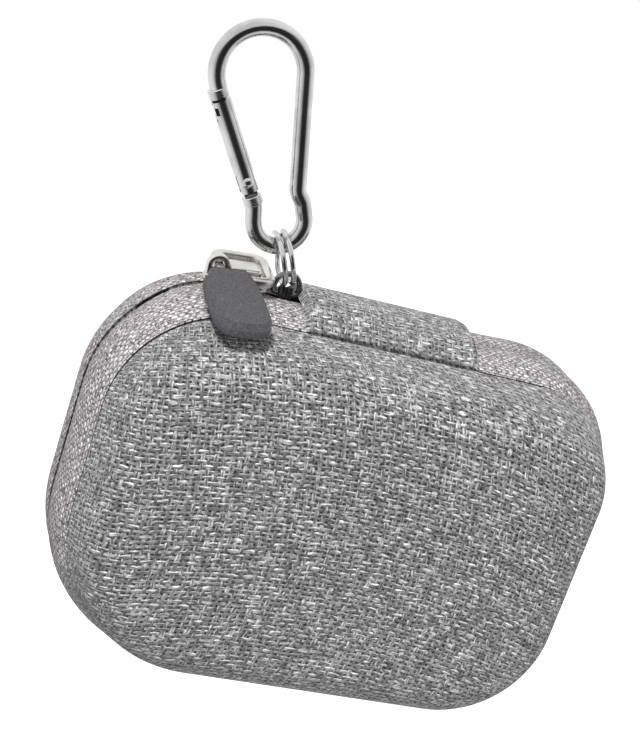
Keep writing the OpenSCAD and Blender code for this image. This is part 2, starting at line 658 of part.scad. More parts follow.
module pull_tab() {
    base = tab_up - bar_up;
    ledge = 0.8;
    color(rubber_grey) on_bar() difference() {
        union() {
            translate([tab_aside, tab_top, base]) rotate([0, 0, tab_lean]) {
                linear_extrude(tab_t - tab_bevel) tab_outline(0);
                linear_extrude(tab_t) tab_outline(ledge);
            }
            translate([-lug_w / 2, 0, 0]) rotate([0, 90, 0]) cylinder(r = lug_r, h = lug_w);
        }
        translate([-lug_w, 0, 0]) rotate([0, 90, 0]) cylinder(d = pull_bar_d + 2 * slide_gap, h = 2 * lug_w);
        translate([-lug_w / 2 - tab_top_w, pocket_down, -tab_t]) cube([tab_top_w, tab_t, tab_t + pocket_up]);
    }
}

echo(split_ring_least_gap = ring_least_gap);

hook_frame();
latch_pin();
gate();
gate_rivet();
gate_plunger();
gate_spring();
split_ring();
dee_ring();
dee_keeper();
back_half() fabric_skin();  // back_fabric
back_half() foam_shell();  // back_shell
back_half() lining_skin();  // back_lining
back_half() rim_binding();  // back_binding
back_half() zip_tape();  // back_tape
back_half() zip_teeth(0.75);  // back_teeth
front_half() fabric_skin();  // front_fabric
front_half() foam_shell();  // front_shell
front_half() lining_skin();  // front_lining
front_half() rim_binding();  // front_binding
front_half() zip_tape();  // front_tape
front_half() zip_teeth(0.25);  // front_teeth
hinge_roll();
hinge_pad();
hinge_strap();
hinge_lining();
zip_stop();
slider_body();
pull_ring();
pull_tab();
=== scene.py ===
"""Earbud case cover: a hard zip case in heather grey fabric, hung by a split ring from a snap hook."""

import json
import logging
import math
from dataclasses import dataclass, field
from enum import Enum
from typing import Any, Sequence

import bmesh
import bpy
from mathutils import Matrix, Vector

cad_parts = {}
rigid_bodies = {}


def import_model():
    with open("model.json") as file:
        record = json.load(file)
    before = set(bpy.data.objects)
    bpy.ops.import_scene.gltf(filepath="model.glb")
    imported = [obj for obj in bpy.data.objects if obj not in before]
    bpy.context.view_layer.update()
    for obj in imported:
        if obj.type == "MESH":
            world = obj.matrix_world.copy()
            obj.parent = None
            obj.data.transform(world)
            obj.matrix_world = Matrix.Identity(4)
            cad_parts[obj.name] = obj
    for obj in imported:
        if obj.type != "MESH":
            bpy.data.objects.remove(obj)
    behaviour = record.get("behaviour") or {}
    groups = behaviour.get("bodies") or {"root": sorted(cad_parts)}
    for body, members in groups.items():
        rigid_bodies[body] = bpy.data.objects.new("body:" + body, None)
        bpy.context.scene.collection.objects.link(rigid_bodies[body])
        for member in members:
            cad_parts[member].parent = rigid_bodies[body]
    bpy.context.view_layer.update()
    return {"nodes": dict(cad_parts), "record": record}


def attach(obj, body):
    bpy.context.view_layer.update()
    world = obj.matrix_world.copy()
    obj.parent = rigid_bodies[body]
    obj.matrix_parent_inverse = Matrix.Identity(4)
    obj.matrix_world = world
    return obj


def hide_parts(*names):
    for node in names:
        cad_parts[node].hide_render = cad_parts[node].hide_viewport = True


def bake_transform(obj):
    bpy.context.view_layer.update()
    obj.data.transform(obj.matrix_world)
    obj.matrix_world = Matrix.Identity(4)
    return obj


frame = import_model()

log = logging.getLogger("earbud_case")
logging.basicConfig(level=logging.INFO, format="%(name)s: %(message)s")

MM = 0.001
PHOTO_HEIGHT_PX = 745


class Side(Enum):
    """Which half of the case a piece belongs to, as the sign of its depth along Y."""

    FRONT = -1
    BACK = 1


class Body(str, Enum):
    """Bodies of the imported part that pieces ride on."""

    HOOK = "hook"
    GATE = "gate_arm"
    RING = "ring"
    DEE = "dee"
    BACK = "back"
    LID = "lid"
    SLIDER = "slider"
    PULL = "pull"
    TAB = "tab"


# Sizes of the case, in millimetres, the same values as the part's source


@dataclass(frozen=True)
class CaseSizes:
    """Sizes of the two moulded halves, the zip tape and the hinge."""

    width: float = 86.0
    height: float = 61.6
    depth: float = 19.7
    corner_tr: float = 18.4
    corner_tl: float = 19.6
    corner_bl: float = 24.2
    corner_br: float = 20.4
    fabric: float = 0.7
    foam: float = 2.2
    lining: float = 0.5
    glue: float = 0.05
    draft: float = 19.0
    edge_radius: float = 7.3
    lip_depth: float = 10.2
    lip_inset: float = 1.3
    tape_crown: float = 1.2
    tape: float = 0.6
    tape_tuck: float = 3.39
    slot: float = 0.7
    hinge_half: float = 14.4
    hinge_rise: float = 2.7
    hinge_fabric: float = 0.9
    hinge_strap: float = 1.0

    @property
    def half_w(self) -> float:
        """Half the width along the zip line."""
        return self.width / 2

    @property
    def half_h(self) -> float:
        """Half the height along the zip line."""
        return self.height / 2

    @property
    def arc_depth(self) -> float:
        """Depth at the middle of the arc between wall and face."""
        return self.depth - self.edge_radius

    @property
    def arc_inset(self) -> float:
        """Inset at which the flat face begins."""
        lean = math.radians(self.draft)
        run = (self.arc_depth + self.edge_radius * math.sin(lean) - self.lip_depth) / math.cos(lean)
        return self.lip_inset + run * math.sin(lean) + self.edge_radius * math.cos(lean)

    def wall_at(self, off: float, depth: float) -> tuple[float, float]:
        """Point of the drafted wall.

        Args:
            off: Distance inwards from the outer surface.
            depth: Depth from the zip line.

        Returns:
            Inset from the zip line's outline, and depth.
        """
        lean = math.radians(self.draft)
        return self.lip_inset + (depth - self.lip_depth) * math.tan(lean) + off / math.cos(lean), depth

    def edge_line(self, off: float, start: float, steps: int = 14, wall_steps: int = 4) -> list[tuple[float, float]]:
        """Line of a layer from the lip up the wall and round to the flat face.

        Args:
            off: Distance of the layer inwards from the outer surface.
            start: Depth at which the line begins.
            steps: Steps round the arc.
            wall_steps: Steps up the wall.

        Returns:
            Points as inset and depth.
        """
        lean = math.radians(self.draft)
        radius = self.edge_radius - off
        arc = [(self.arc_inset - radius * math.cos(a), self.arc_depth + radius * math.sin(a))
               for a in (lean + (math.pi / 2 - lean) * i / steps for i in range(steps + 1))]
        low = self.wall_at(off, start)
        wall = [(low[0] + (arc[0][0] - low[0]) * i / wall_steps, low[1] + (arc[0][1] - low[1]) * i / wall_steps)
                for i in range(wall_steps)]
        return wall + arc

    def tape_inset(self, depth: float) -> float:
        """Inset of the zip tape's crowned outer surface at a depth."""
        t = max(0.0, min(1.0, (depth - self.slot / 2) / (self.lip_depth - self.slot / 2)))
        return self.lip_root * t - self.tape_crown * 4 * t * (1 - t)

    @property
    def lip_root(self) -> float:
        """Inset at which the tape and the hinge pass under the lip."""
        return self.wall_at(self.fabric + self.glue, self.lip_depth)[0]

    @property
    def tuck(self) -> tuple[float, float]:
        """Point at which the tape and the hinge end behind the lip, as inset and depth."""
        return self.wall_at(self.fabric + self.glue, self.lip_depth + self.tape_tuck)

    @property
    def roll_radius(self) -> float:
        """Radius of the rolled hinge over the zip line."""
        drop = self.lip_root + self.hinge_rise
        return (self.lip_depth ** 2 + drop ** 2) / (2 * drop)


@dataclass(frozen=True)
class HookSizes:
    """Sizes of the snap hook, the rings and the slider."""

    wire: float = 2.6
    bend: float = 6.6
    eye: float = 3.9
    drop: float = 32.0
    kink_half: float = 3.35
    gate: float = 3.0
    rivet: float = 1.1
    tongue: float = 1.1
    latch: float = 0.9
    gap: float = 0.15
    collar: float = 1.5
    elbow: float = 2.6
    ring_wire: float = 0.85
    ring_outer: float = 8.8
    ring_pitch: float = 1.27
    dee_wire: float = 0.9
    dee: float = 2.0
    dee_off: float = 17.0
    dee_bar: float = 1.0
    dee_leg: float = 1.1
    ring_gap: float = 0.3
    hang_lean: float = 24.2
    image_lean: float = 18.2

    @property
    def bend_z(self) -> float:
        """Height of the top bend's middle."""
        return self.wire / 2 - self.bend

    @property
    def eye_z(self) -> float:
        """Height of the bottom eye's middle."""
        return -self.drop + self.eye

    @property
    def kink_z(self) -> float:
        """Height of the kink in the long leg."""
        return self.eye_z + 4.1

    @property
    def neck_z(self) -> float:
        """Height of the neck below the gate."""
        return self.eye_z + 3.3

    @property
    def lean(self) -> float:
        """Lean of the legs, in radians."""
        depth = self.bend_z - self.kink_z
        span = math.hypot(self.kink_half, depth)
        return math.asin(self.bend / span) - math.atan(self.kink_half / depth)

    @property
    def neck(self) -> Vector:
        """Point at which the gate's line begins."""
        return Vector((-self.kink_half + (self.neck_z - self.kink_z) * math.tan(self.lean), 0, self.neck_z))

    @property
    def gate_span(self) -> float:
        """Length from the neck to the top bend along the gate's line."""
        depth = self.bend_z - self.kink_z
        leg = math.sqrt(self.kink_half ** 2 + depth ** 2 - self.bend ** 2)
        return leg + (self.kink_z - self.neck_z) / math.cos(self.lean)

    @property
    def pivot_up(self) -> float:
        """Distance from the neck to the gate's rivet."""
        return self.collar + 1.6 + 0.75

    @property
    def ring_radius(self) -> float:
        """Radius of the split ring at the middle of its wire."""
        return (self.ring_outer - self.ring_wire) / 2

    @property
    def ring_z(self) -> float:
        """Height of the split ring's middle."""
        return -self.drop - (self.ring_radius - self.ring_wire / 2 - self.ring_gap - self.wire / 2)

    @property
    def bear_z(self) -> float:
        """Height at which the case hangs in the split ring."""
        return self.ring_z - self.ring_radius

    @property
    def gate_line(self) -> Matrix:
        """Place of the gate's own frame, with +Z up along the gate."""
        return Matrix.Translation(self.neck) @ Matrix.Rotation(-self.lean, 4, "Y")


@dataclass(frozen=True)
class SliderSizes:
    """Sizes of the zip slider, its pull ring and the rubber tab."""

    off: float = 25.1
    length: float = 10.2
    width: float = 7.2
    plate: float = 1.2
    plate_up: float = 0.75
    plate_down: float = 2.7
    plate_low: float = 0.9
    wedge: float = 3.0
    wedge_t: float = 0.5
    bar: float = 1.5
    bridge: float = 0.85
    bridge_w: float = 1.6
    bridge_in: float = 0.95
    pull_x: float = -3.0
    pull_z: float = 3.2
    pull_len: float = 7.6
    pull_w: float = 9.4
    pull_corner: float = 1.8
    pull_tilt: float = 5.0
    tab_len: float = 13.6
    tab_w: float = 10.0
    tab_top_w: float = 5.2
    tab_t: float = 2.8
    tab_bevel: float = 0.6
    tab_slope: float = 22.0
    tab_lean: float = 4.0
    tab_gap: float = 0.2
    tab_top: float = 0.7
    lug_w: float = 1.9
    gap: float = 0.15

    @property
    def lug_x(self) -> float:
        """Place of the tab's lug along the ring's near bar."""
        return self.pull_x + self.pull_corner + self.lug_w / 2 + 0.1

    @property
    def lug_radius(self) -> float:
        """Radius of the lug round the ring's bar."""
        return self.bar / 2 + self.gap + 0.44

    @property
    def near_bar(self) -> tuple[float, float]:
        """Depth and height of the ring's near bar."""
        tilt = math.radians(self.pull_tilt)
        return -self.pull_w / 2 * math.cos(tilt), self.pull_z - self.pull_w / 2 * math.sin(tilt)

    @property
    def tab_base(self) -> float:
        """Height of the tab's back over the near bar's axis, square to the tab."""
        slope = math.radians(self.tab_slope)
        depth = CASE.arc_depth + CASE.edge_radius * math.sin(slope)
        rise = -CASE.arc_inset + CASE.edge_radius * math.cos(slope)
        bar_y, bar_z = self.near_bar
        tab_up = depth * math.sin(slope) + rise * math.cos(slope) + self.tab_gap
        return tab_up - (-bar_y * math.sin(slope) + bar_z * math.cos(slope))


CASE = CaseSizes()
HOOK = HookSizes()
SLIDER = SliderSizes()


def hang_matrix() -> Matrix:
    """Place of the case's own frame, hung by its D ring from the split ring."""
    reach = HOOK.dee - HOOK.dee_wire / 2 - HOOK.ring_wire / 2 - HOOK.gap
    up = math.sqrt(reach ** 2 - (HOOK.ring_pitch / 2) ** 2)
    lean = math.radians(HOOK.hang_lean)
    dee = Vector((-HOOK.dee_off, 0, CASE.half_h + HOOK.dee_bar + HOOK.dee_leg))
    bear = dee + up * Vector((-math.sin(lean), 0, math.cos(lean)))
    return Matrix.Translation((0, 0, HOOK.bear_z)) @ Matrix.Rotation(lean, 4, "Y") @ Matrix.Translation(-bear)


HANG = hang_matrix()


def slider_matrix() -> Matrix:
    """Place of the slider's own frame on the case's top left corner."""
    r = CASE.corner_tl
    turn = math.asin((SLIDER.off - (CASE.half_w - r)) / r)
    centre = Matrix.Translation((-CASE.half_w + r, 0, CASE.half_h - r))
    return HANG @ centre @ Matrix.Rotation(-turn, 4, "Y") @ Matrix.Translation((0, 0, r))


ON_SLIDER = slider_matrix()


# Ways of making meshes, with sizes in millimetres until a piece is put in its place


@dataclass(frozen=True)
class Straight:
    """Move of a swept outline along a vector, in equal steps."""

    by: Vector
    steps: int = 1


@dataclass(frozen=True)
class Turn:
    """Right-handed turn of a swept outline about an axis, in equal steps."""

    centre: Vector
    axis: Vector
    degrees: float
    steps: int


def take(obj: bpy.types.Object) -> None:
    """Makes one object the only selected and the active one."""
    for other in bpy.context.view_layer.objects:
        other.select_set(other is obj)
    bpy.context.view_layer.objects.active = obj


def start_edit(obj: bpy.types.Object) -> None:
    """Opens a mesh for editing with nothing selected."""
    take(obj)
    bpy.ops.object.mode_set(mode="EDIT")
    bpy.ops.mesh.select_mode(type="VERT")
    bpy.ops.mesh.select_all(action="DESELECT")


def end_edit() -> None:
    """Closes the mesh that is open for editing."""
    bpy.ops.object.mode_set(mode="OBJECT")


def pick_vertices(obj: bpy.types.Object, wanted: Any) -> None:
    """Selects the vertices for which a test on their place holds, in edit mode.

    Args:
        obj: Object whose mesh is open.
        wanted: Function from a place to True or False.
    """
    bpy.ops.mesh.select_all(action="DESELECT")
    mesh = bmesh.from_edit_mesh(obj.data)
    for vertex in mesh.verts:
        vertex.select_set(bool(wanted(vertex.co)))
    mesh.select_flush(True)
    bmesh.update_edit_mesh(obj.data)


def draw_line(name: str, points: Sequence[Vector], closed: bool) -> bpy.types.Object:
    """Draws a line of edges by extruding one vertex from point to point.

    Args:
        name: Name of the new piece.
        points: Points of the line.
        closed: True if the last point joins the first.

    Returns:
        The new object, open for editing with all of it selected.
    """
    for other in bpy.context.view_layer.objects:
        other.select_set(False)
    bpy.ops.mesh.primitive_plane_add(size=0.01, location=(0, 0, 0))
    obj = bpy.context.active_object
    obj.name = name
    obj.data.name = name
    bpy.ops.object.mode_set(mode="EDIT")
    bpy.ops.mesh.select_mode(type="VERT")
    bpy.ops.mesh.select_all(action="SELECT")
    bpy.ops.mesh.merge(type="CENTER")
    bpy.ops.transform.translate(value=points[0])
    for a, b in zip(points, points[1:]):
        bpy.ops.mesh.extrude_region_move(TRANSFORM_OT_translate={"value": b - a})
    if closed:
        first, last = points[0], points[-1]
        pick_vertices(obj, lambda co: (co - first).length < 1e-4 or (co - last).length < 1e-4)
        bpy.ops.mesh.edge_face_add()
    bpy.ops.mesh.select_all(action="SELECT")
    return obj


def sweep(moves: Sequence[Straight | Turn]) -> None:
    """Carries the selected edges through a list of moves, in edit mode."""
    for move in moves:
        if isinstance(move, Straight):
            if move.by.length < 1e-5:
                continue
            for _ in range(move.steps):
                bpy.ops.mesh.extrude_region_move(TRANSFORM_OT_translate={"value": move.by / move.steps})
        else:
            bpy.ops.mesh.spin(steps=move.steps, angle=-math.radians(move.degrees), center=move.centre, axis=move.axis)


def weld(closed: bool) -> None:
    """Merges doubled vertices, closes open ends if asked and turns the faces outwards, in edit mode.

    Args:
        closed: True if the piece is to be a closed solid.
    """
    bpy.ops.mesh.select_all(action="SELECT")
    bpy.ops.mesh.remove_doubles(threshold=0.002)
    if closed:
        bpy.ops.mesh.select_all(action="DESELECT")
        bpy.ops.mesh.select_non_manifold(extend=False, use_wire=False, use_boundary=True, use_multi_face=False,
                                         use_non_contiguous=False, use_verts=False)
        bpy.ops.mesh.fill_holes(sides=0)
    bpy.ops.mesh.select_all(action="SELECT")
    bpy.ops.mesh.normals_make_consistent(inside=False)


def shape(obj: bpy.types.Object, kind: str, **settings: Any) -> None:
    """Adds a modifier to a piece and applies it.

    Args:
        obj: The piece.
        kind: Blender's name for the modifier type.
        settings: Values of the modifier's settings.
    """
    take(obj)
    modifier = obj.modifiers.new(kind.lower(), kind)
    for key, value in settings.items():
        setattr(modifier, key, value)
    bpy.ops.object.modifier_apply(modifier=modifier.name)


def place(obj: bpy.types.Object, where: Matrix, smooth: float | None = 40.0) -> bpy.types.Object:
    """Puts a piece that was modelled in millimetres where it belongs, with its place in its mesh.

    Args:
        obj: The piece.
        where: Its place in the part's frame, in millimetres.
        smooth: Greatest angle between faces that are shaded smooth, or None for flat shading.

    Returns:
        The same object.
    """
    take(obj)
    obj.matrix_world = Matrix.Scale(MM, 4) @ where
    bpy.ops.object.transform_apply(location=True, rotation=True, scale=True)
    if smooth is not None:
        bpy.ops.object.shade_smooth_by_angle(angle=math.radians(smooth))
    return obj


def round_solid(name: str, profile: Sequence[tuple[float, float]], steps: int = 32) -> bpy.types.Object:
    """Turns a profile of radius and height round the Z axis into a closed solid.

    Args:
        name: Name of the new piece.
        profile: Points as radius and height, from the axis round to the axis.
        steps: Steps of the full turn.

    Returns:
        The new object, in object mode.
    """
    obj = draw_line(name, [Vector((r, 0, h)) for r, h in profile], closed=False)
    sweep([Turn(Vector((0, 0, 0)), Vector((0, 0, 1)), 360, steps)])
    weld(closed=False)
    end_edit()
    return obj


def wire_moves(points: Sequence[Vector], radius: float, steps: int = 6) -> list[Straight | Turn]:
    """Moves that carry a wire through points in the XZ plane, with a bend at each inner point.

    Args:
        points: Corners of the wire's path.
        radius: Radius of the bends.
        steps: Steps in each bend.

    Returns:
        The moves, from the first point to the last.
    """
    moves: list[Straight | Turn] = []
    start = points[0]
    for before, at, after in zip(points, points[1:], points[2:]):
        into, out = (at - before).normalized(), (after - at).normalized()
        turn = math.atan2(out.x, out.z) - math.atan2(into.x, into.z)
        turn = (turn + math.pi) % (2 * math.pi) - math.pi
        back = radius * math.tan(abs(turn) / 2)
        moves.append(Straight(at - into * back - start))
        side = Vector((into.z, 0, -into.x)) * math.copysign(1, turn)
        moves.append(Turn(at - into * back + side * radius, Vector((0, 1, 0)), math.degrees(turn), steps))
        start = at + out * back
    moves.append(Straight(points[-1] - start))
    return moves


def outline_moves(start_x: float, end_x: float, steps: int = 22) -> list[Straight | Turn]:
    """Moves that carry a profile round the case, clockwise as seen from the front.

    Args:
        start_x: Place on the top side at which the profile stands.
        end_x: Place on the top side at which it ends.
        steps: Steps round each corner.

    Returns:
        The moves.
    """
    w, h = CASE.half_w, CASE.half_h
    y = Vector((0, 1, 0))

    def corner(sx: int, sz: int, r: float) -> Turn:
        return Turn(Vector((sx * (w - r), 0, sz * (h - r))), y, 90, steps)

    return [
        Straight(Vector((w - CASE.corner_tr - start_x, 0, 0)), 4), corner(1, 1, CASE.corner_tr),
        Straight(Vector((0, 0, -(CASE.height - CASE.corner_tr - CASE.corner_br))), 4), corner(1, -1, CASE.corner_br),
        Straight(Vector((-(CASE.width - CASE.corner_br - CASE.corner_bl), 0, 0)), 6), corner(-1, -1, CASE.corner_bl),
        Straight(Vector((0, 0, CASE.height - CASE.corner_bl - CASE.corner_tl)), 3), corner(-1, 1, CASE.corner_tl),
        Straight(Vector((end_x + w - CASE.corner_tl, 0, 0)), 3),
    ]


@dataclass(frozen=True)
class Footing:
    """Where a point of the case lies beside the zip line's outline."""

    inset: float
    along: float
    normal: tuple[float, float]


def footing(x: float, z: float) -> Footing:
    """Finds a point's inset from the outline, its way round it and the outline's normal there.

    Args:
        x: Place along the case.
        z: Place up the case.

    Returns:
        The footing, with the way round measured clockwise from the middle of the top side.
    """
    w, h = CASE.half_w, CASE.half_h
    radii = {(1, 1): CASE.corner_tr, (1, -1): CASE.corner_br, (-1, -1): CASE.corner_bl, (-1, 1): CASE.corner_tl}
    turn = {k: r * math.pi / 2 for k, r in radii.items()}
    tr, br, bl, tl = radii[(1, 1)], radii[(1, -1)], radii[(-1, -1)], radii[(-1, 1)]
    at_right = (w - tr) + turn[(1, 1)]
    at_bottom = at_right + (2 * h - tr - br) + turn[(1, -1)]
    at_left = at_bottom + (2 * w - br - bl) + turn[(-1, -1)]
    at_top = at_left + (2 * h - bl - tl) + turn[(-1, 1)]
    sx, sz = (1 if x >= 0 else -1), (1 if z >= 0 else -1)
    r = radii[(sx, sz)]
    dx, dz = x - sx * (w - r), z - sz * (h - r)
    if dx * sx > 0 and dz * sz > 0:
        reach = math.hypot(dx, dz)
        begin = {(1, 1): w - tr, (1, -1): at_bottom - turn[(1, -1)], (-1, -1): at_left - turn[(-1, -1)],
                 (-1, 1): at_top - turn[(-1, 1)]}[(sx, sz)]
        swing = math.atan2(dx, dz) % (2 * math.pi)
        first = {(1, 1): 0.0, (1, -1): math.pi / 2, (-1, -1): math.pi, (-1, 1): 1.5 * math.pi}[(sx, sz)]
        return Footing(r - reach, begin + r * (swing - first), (dx / reach, dz / reach))
    if w - abs(x) < h - abs(z):
        along = at_right + (h - tr - z) if sx > 0 else at_left + (z + h - bl)
        return Footing(w - abs(x), along, (sx, 0.0))
    if sz > 0:
        return Footing(h - abs(z), x if x >= 0 else at_top + (x + w - tl), (0.0, 1.0))
    return Footing(h - abs(z), at_bottom + (w - br - x), (0.0, -1.0))


def lay_out(obj: bpy.types.Object, place_of: Any) -> None:
    """Gives a piece a UV map from the place of each vertex, in millimetres over a hundred.

    Args:
        obj: The piece, still in the case's own frame.
        place_of: Function from a vertex's place to its two coordinates in millimetres.
    """
    while obj.data.uv_layers:
        obj.data.uv_layers.remove(obj.data.uv_layers[0])
    layer = obj.data.uv_layers.new(name="cloth")
    places = [place_of(v.co) for v in obj.data.vertices]
    for loop in obj.data.loops:
        u, v = places[loop.vertex_index]
        layer.data[loop.index].uv = (u / 100, v / 100)


def paint_crease_shade(obj: bpy.types.Object, depth_of: Any) -> None:
    """Stores how deep each vertex lies in a crease, for the painted shade that the cloth's finish puts there.

    Args:
        obj: The piece, still in the case's own frame.
        depth_of: Function from a vertex's place to 0 in the open and 1 where the crease is painted darkest.
    """
    layer = obj.data.attributes.new(name="crease", type="FLOAT", domain="POINT")
    for vertex in obj.data.vertices:
        layer.data[vertex.index].value = depth_of(vertex.co)


def unfold_wall(line: Sequence[tuple[float, float]]) -> Any:
    """Makes the function that lays the shell's wall out flat round its face.

    Args:
        line: Points of the wall's profile, as inset and depth, from the lip to the face.

    Returns:
        Function from a place in the case's frame to two coordinates in millimetres.
    """
    lengths = [0.0]
    for a, b in zip(reversed(line[1:]), reversed(line[:-1])):
        lengths.append(lengths[-1] + math.dist(a, b))
    lengths.reverse()

    def place_of(co: Vector) -> tuple[float, float]:
        foot = footing(co.x, co.z)
        depth = abs(co.y)
        x, z = co.x, co.z
        if foot.inset < CASE.arc_inset - 0.05:
            k = min(range(len(line)), key=lambda i: (line[i][0] - foot.inset) ** 2 + (line[i][1] - depth) ** 2)
            out = foot.inset - CASE.arc_inset + lengths[k]
            x, z = x + foot.normal[0] * out, z + foot.normal[1] * out
        bow = 0.0031 * x * x + 0.00002 * max(x, 0) ** 3
        return x + 0.0045 * (z + 5) ** 2, z + bow

    return place_of


# Nodes and finishes


def linear(hex_colour: str) -> tuple[float, float, float, float]:
    """Turns an sRGB hex colour into Blender's linear one.

    Args:
        hex_colour: Six hex digits, with or without a hash sign.

    Returns:
        Linear red, green, blue and alpha.
    """
    digits = hex_colour.lstrip("#")
    parts = [int(digits[i:i + 2], 16) / 255 for i in (0, 2, 4)]
    red, green, blue = (p / 12.92 if p <= 0.04045 else ((p + 0.055) / 1.055) ** 2.4 for p in parts)
    return red, green, blue, 1.0


def add_node(tree: bpy.types.NodeTree, kind: str, links: dict[Any, Any] | None = None, **settings: Any) -> Any:
    """Adds a node with its settings, and sets or links its inputs.

    Args:
        tree: Tree that the node goes into.
        kind: Blender's name for the node type.
        links: Input names or numbers, each with a value or with the output that feeds it.
        settings: Attributes of the node itself.

    Returns:
        The new node.
    """
    node = tree.nodes.new(kind)
    for key, value in settings.items():
        setattr(node, key, value)
    for key, value in (links or {}).items():
        if isinstance(value, bpy.types.NodeSocket):
            tree.links.new(value, node.inputs[key])
        else:
            node.inputs[key].default_value = value
    return node


def ramp(tree: bpy.types.NodeTree, source: Any, stops: Sequence[tuple[float, str]]) -> Any:
    """Adds a colour ramp with stops given as place and hex colour, and returns its colour output."""
    node = add_node(tree, "ShaderNodeValToRGB", {"Fac": source})
    band = node.color_ramp
    while len(band.elements) < len(stops):
        band.elements.new(0.5)
    for element, (at, colour) in zip(band.elements, stops):
        element.position = at
        element.color = linear(colour)
    return node.outputs["Color"]


def sum_of(tree: bpy.types.NodeTree, operation: str, *values: Any) -> Any:
    """Adds a maths node and returns its output."""
    return add_node(tree, "ShaderNodeMath", dict(enumerate(values)), operation=operation).outputs[0]


@dataclass(frozen=True)
class Finish:
    """A surface finish, with the values that stay the same all over it."""

    name: str
    roughness: float = 0.5
    metallic: float = 0.0
    ior: float = 1.5
    sheen: float = 0.0
    coat: float = 0.0

    def begin(self) -> tuple[bpy.types.Material, bpy.types.NodeTree, Any]:
        """Starts the material with its shader.

        Returns:
            The material, its node tree and its Principled shader.
        """
        material = bpy.data.materials.new(self.name)
        material.use_nodes = True
        tree = material.node_tree
        tree.nodes.clear()
        shader = add_node(tree, "ShaderNodeBsdfPrincipled", {
            "Roughness": self.roughness, "Metallic": self.metallic, "IOR": self.ior,
            "Sheen Weight": self.sheen, "Coat Weight": self.coat})
        add_node(tree, "ShaderNodeOutputMaterial", {"Surface": shader.outputs["BSDF"]})
        return material, tree, shader

    def make(self) -> bpy.types.Material:
        """Builds the material."""
        raise NotImplementedError


@dataclass(frozen=True)
class Metal(Finish):
    """A plated metal with faint grain, dulled a little in patches."""

    metallic: float = 1.0
    roughness: float = 0.12
    colour: str = "#dcdcdd"
    shade: str = "#c6c6c8"
    grain: float = 0.4
    bump: float = 0.05

    def make(self) -> bpy.types.Material:
        """Builds the metal from two noises: patches of wear, and grain that breaks up the reflections."""
        material, tree, shader = self.begin()
        spot = add_node(tree, "ShaderNodeTexCoord").outputs["Object"]
        patches = add_node(tree, "ShaderNodeTexNoise", {"Vector": spot, "Scale": 260.0, "Detail": 3.0})
        grain = add_node(tree, "ShaderNodeTexNoise", {"Vector": spot, "Scale": 2500.0 * self.grain, "Detail": 2.0})
        tree.links.new(ramp(tree, patches.outputs[0], [(0.35, self.shade), (0.6, self.colour)]),
                       shader.inputs["Base Color"])
        rough = add_node(tree, "ShaderNodeMapRange", {
            "Value": patches.outputs[0], "From Min": 0.3, "From Max": 0.7,
            "To Min": self.roughness * 1.5, "To Max": self.roughness * 0.8})
        tree.links.new(rough.outputs[0], shader.inputs["Roughness"])
        relief = add_node(tree, "ShaderNodeBump", {
            "Height": grain.outputs[0], "Strength": 0.25, "Distance": self.bump * MM})
        tree.links.new(relief.outputs[0], shader.inputs["Normal"])
        return material


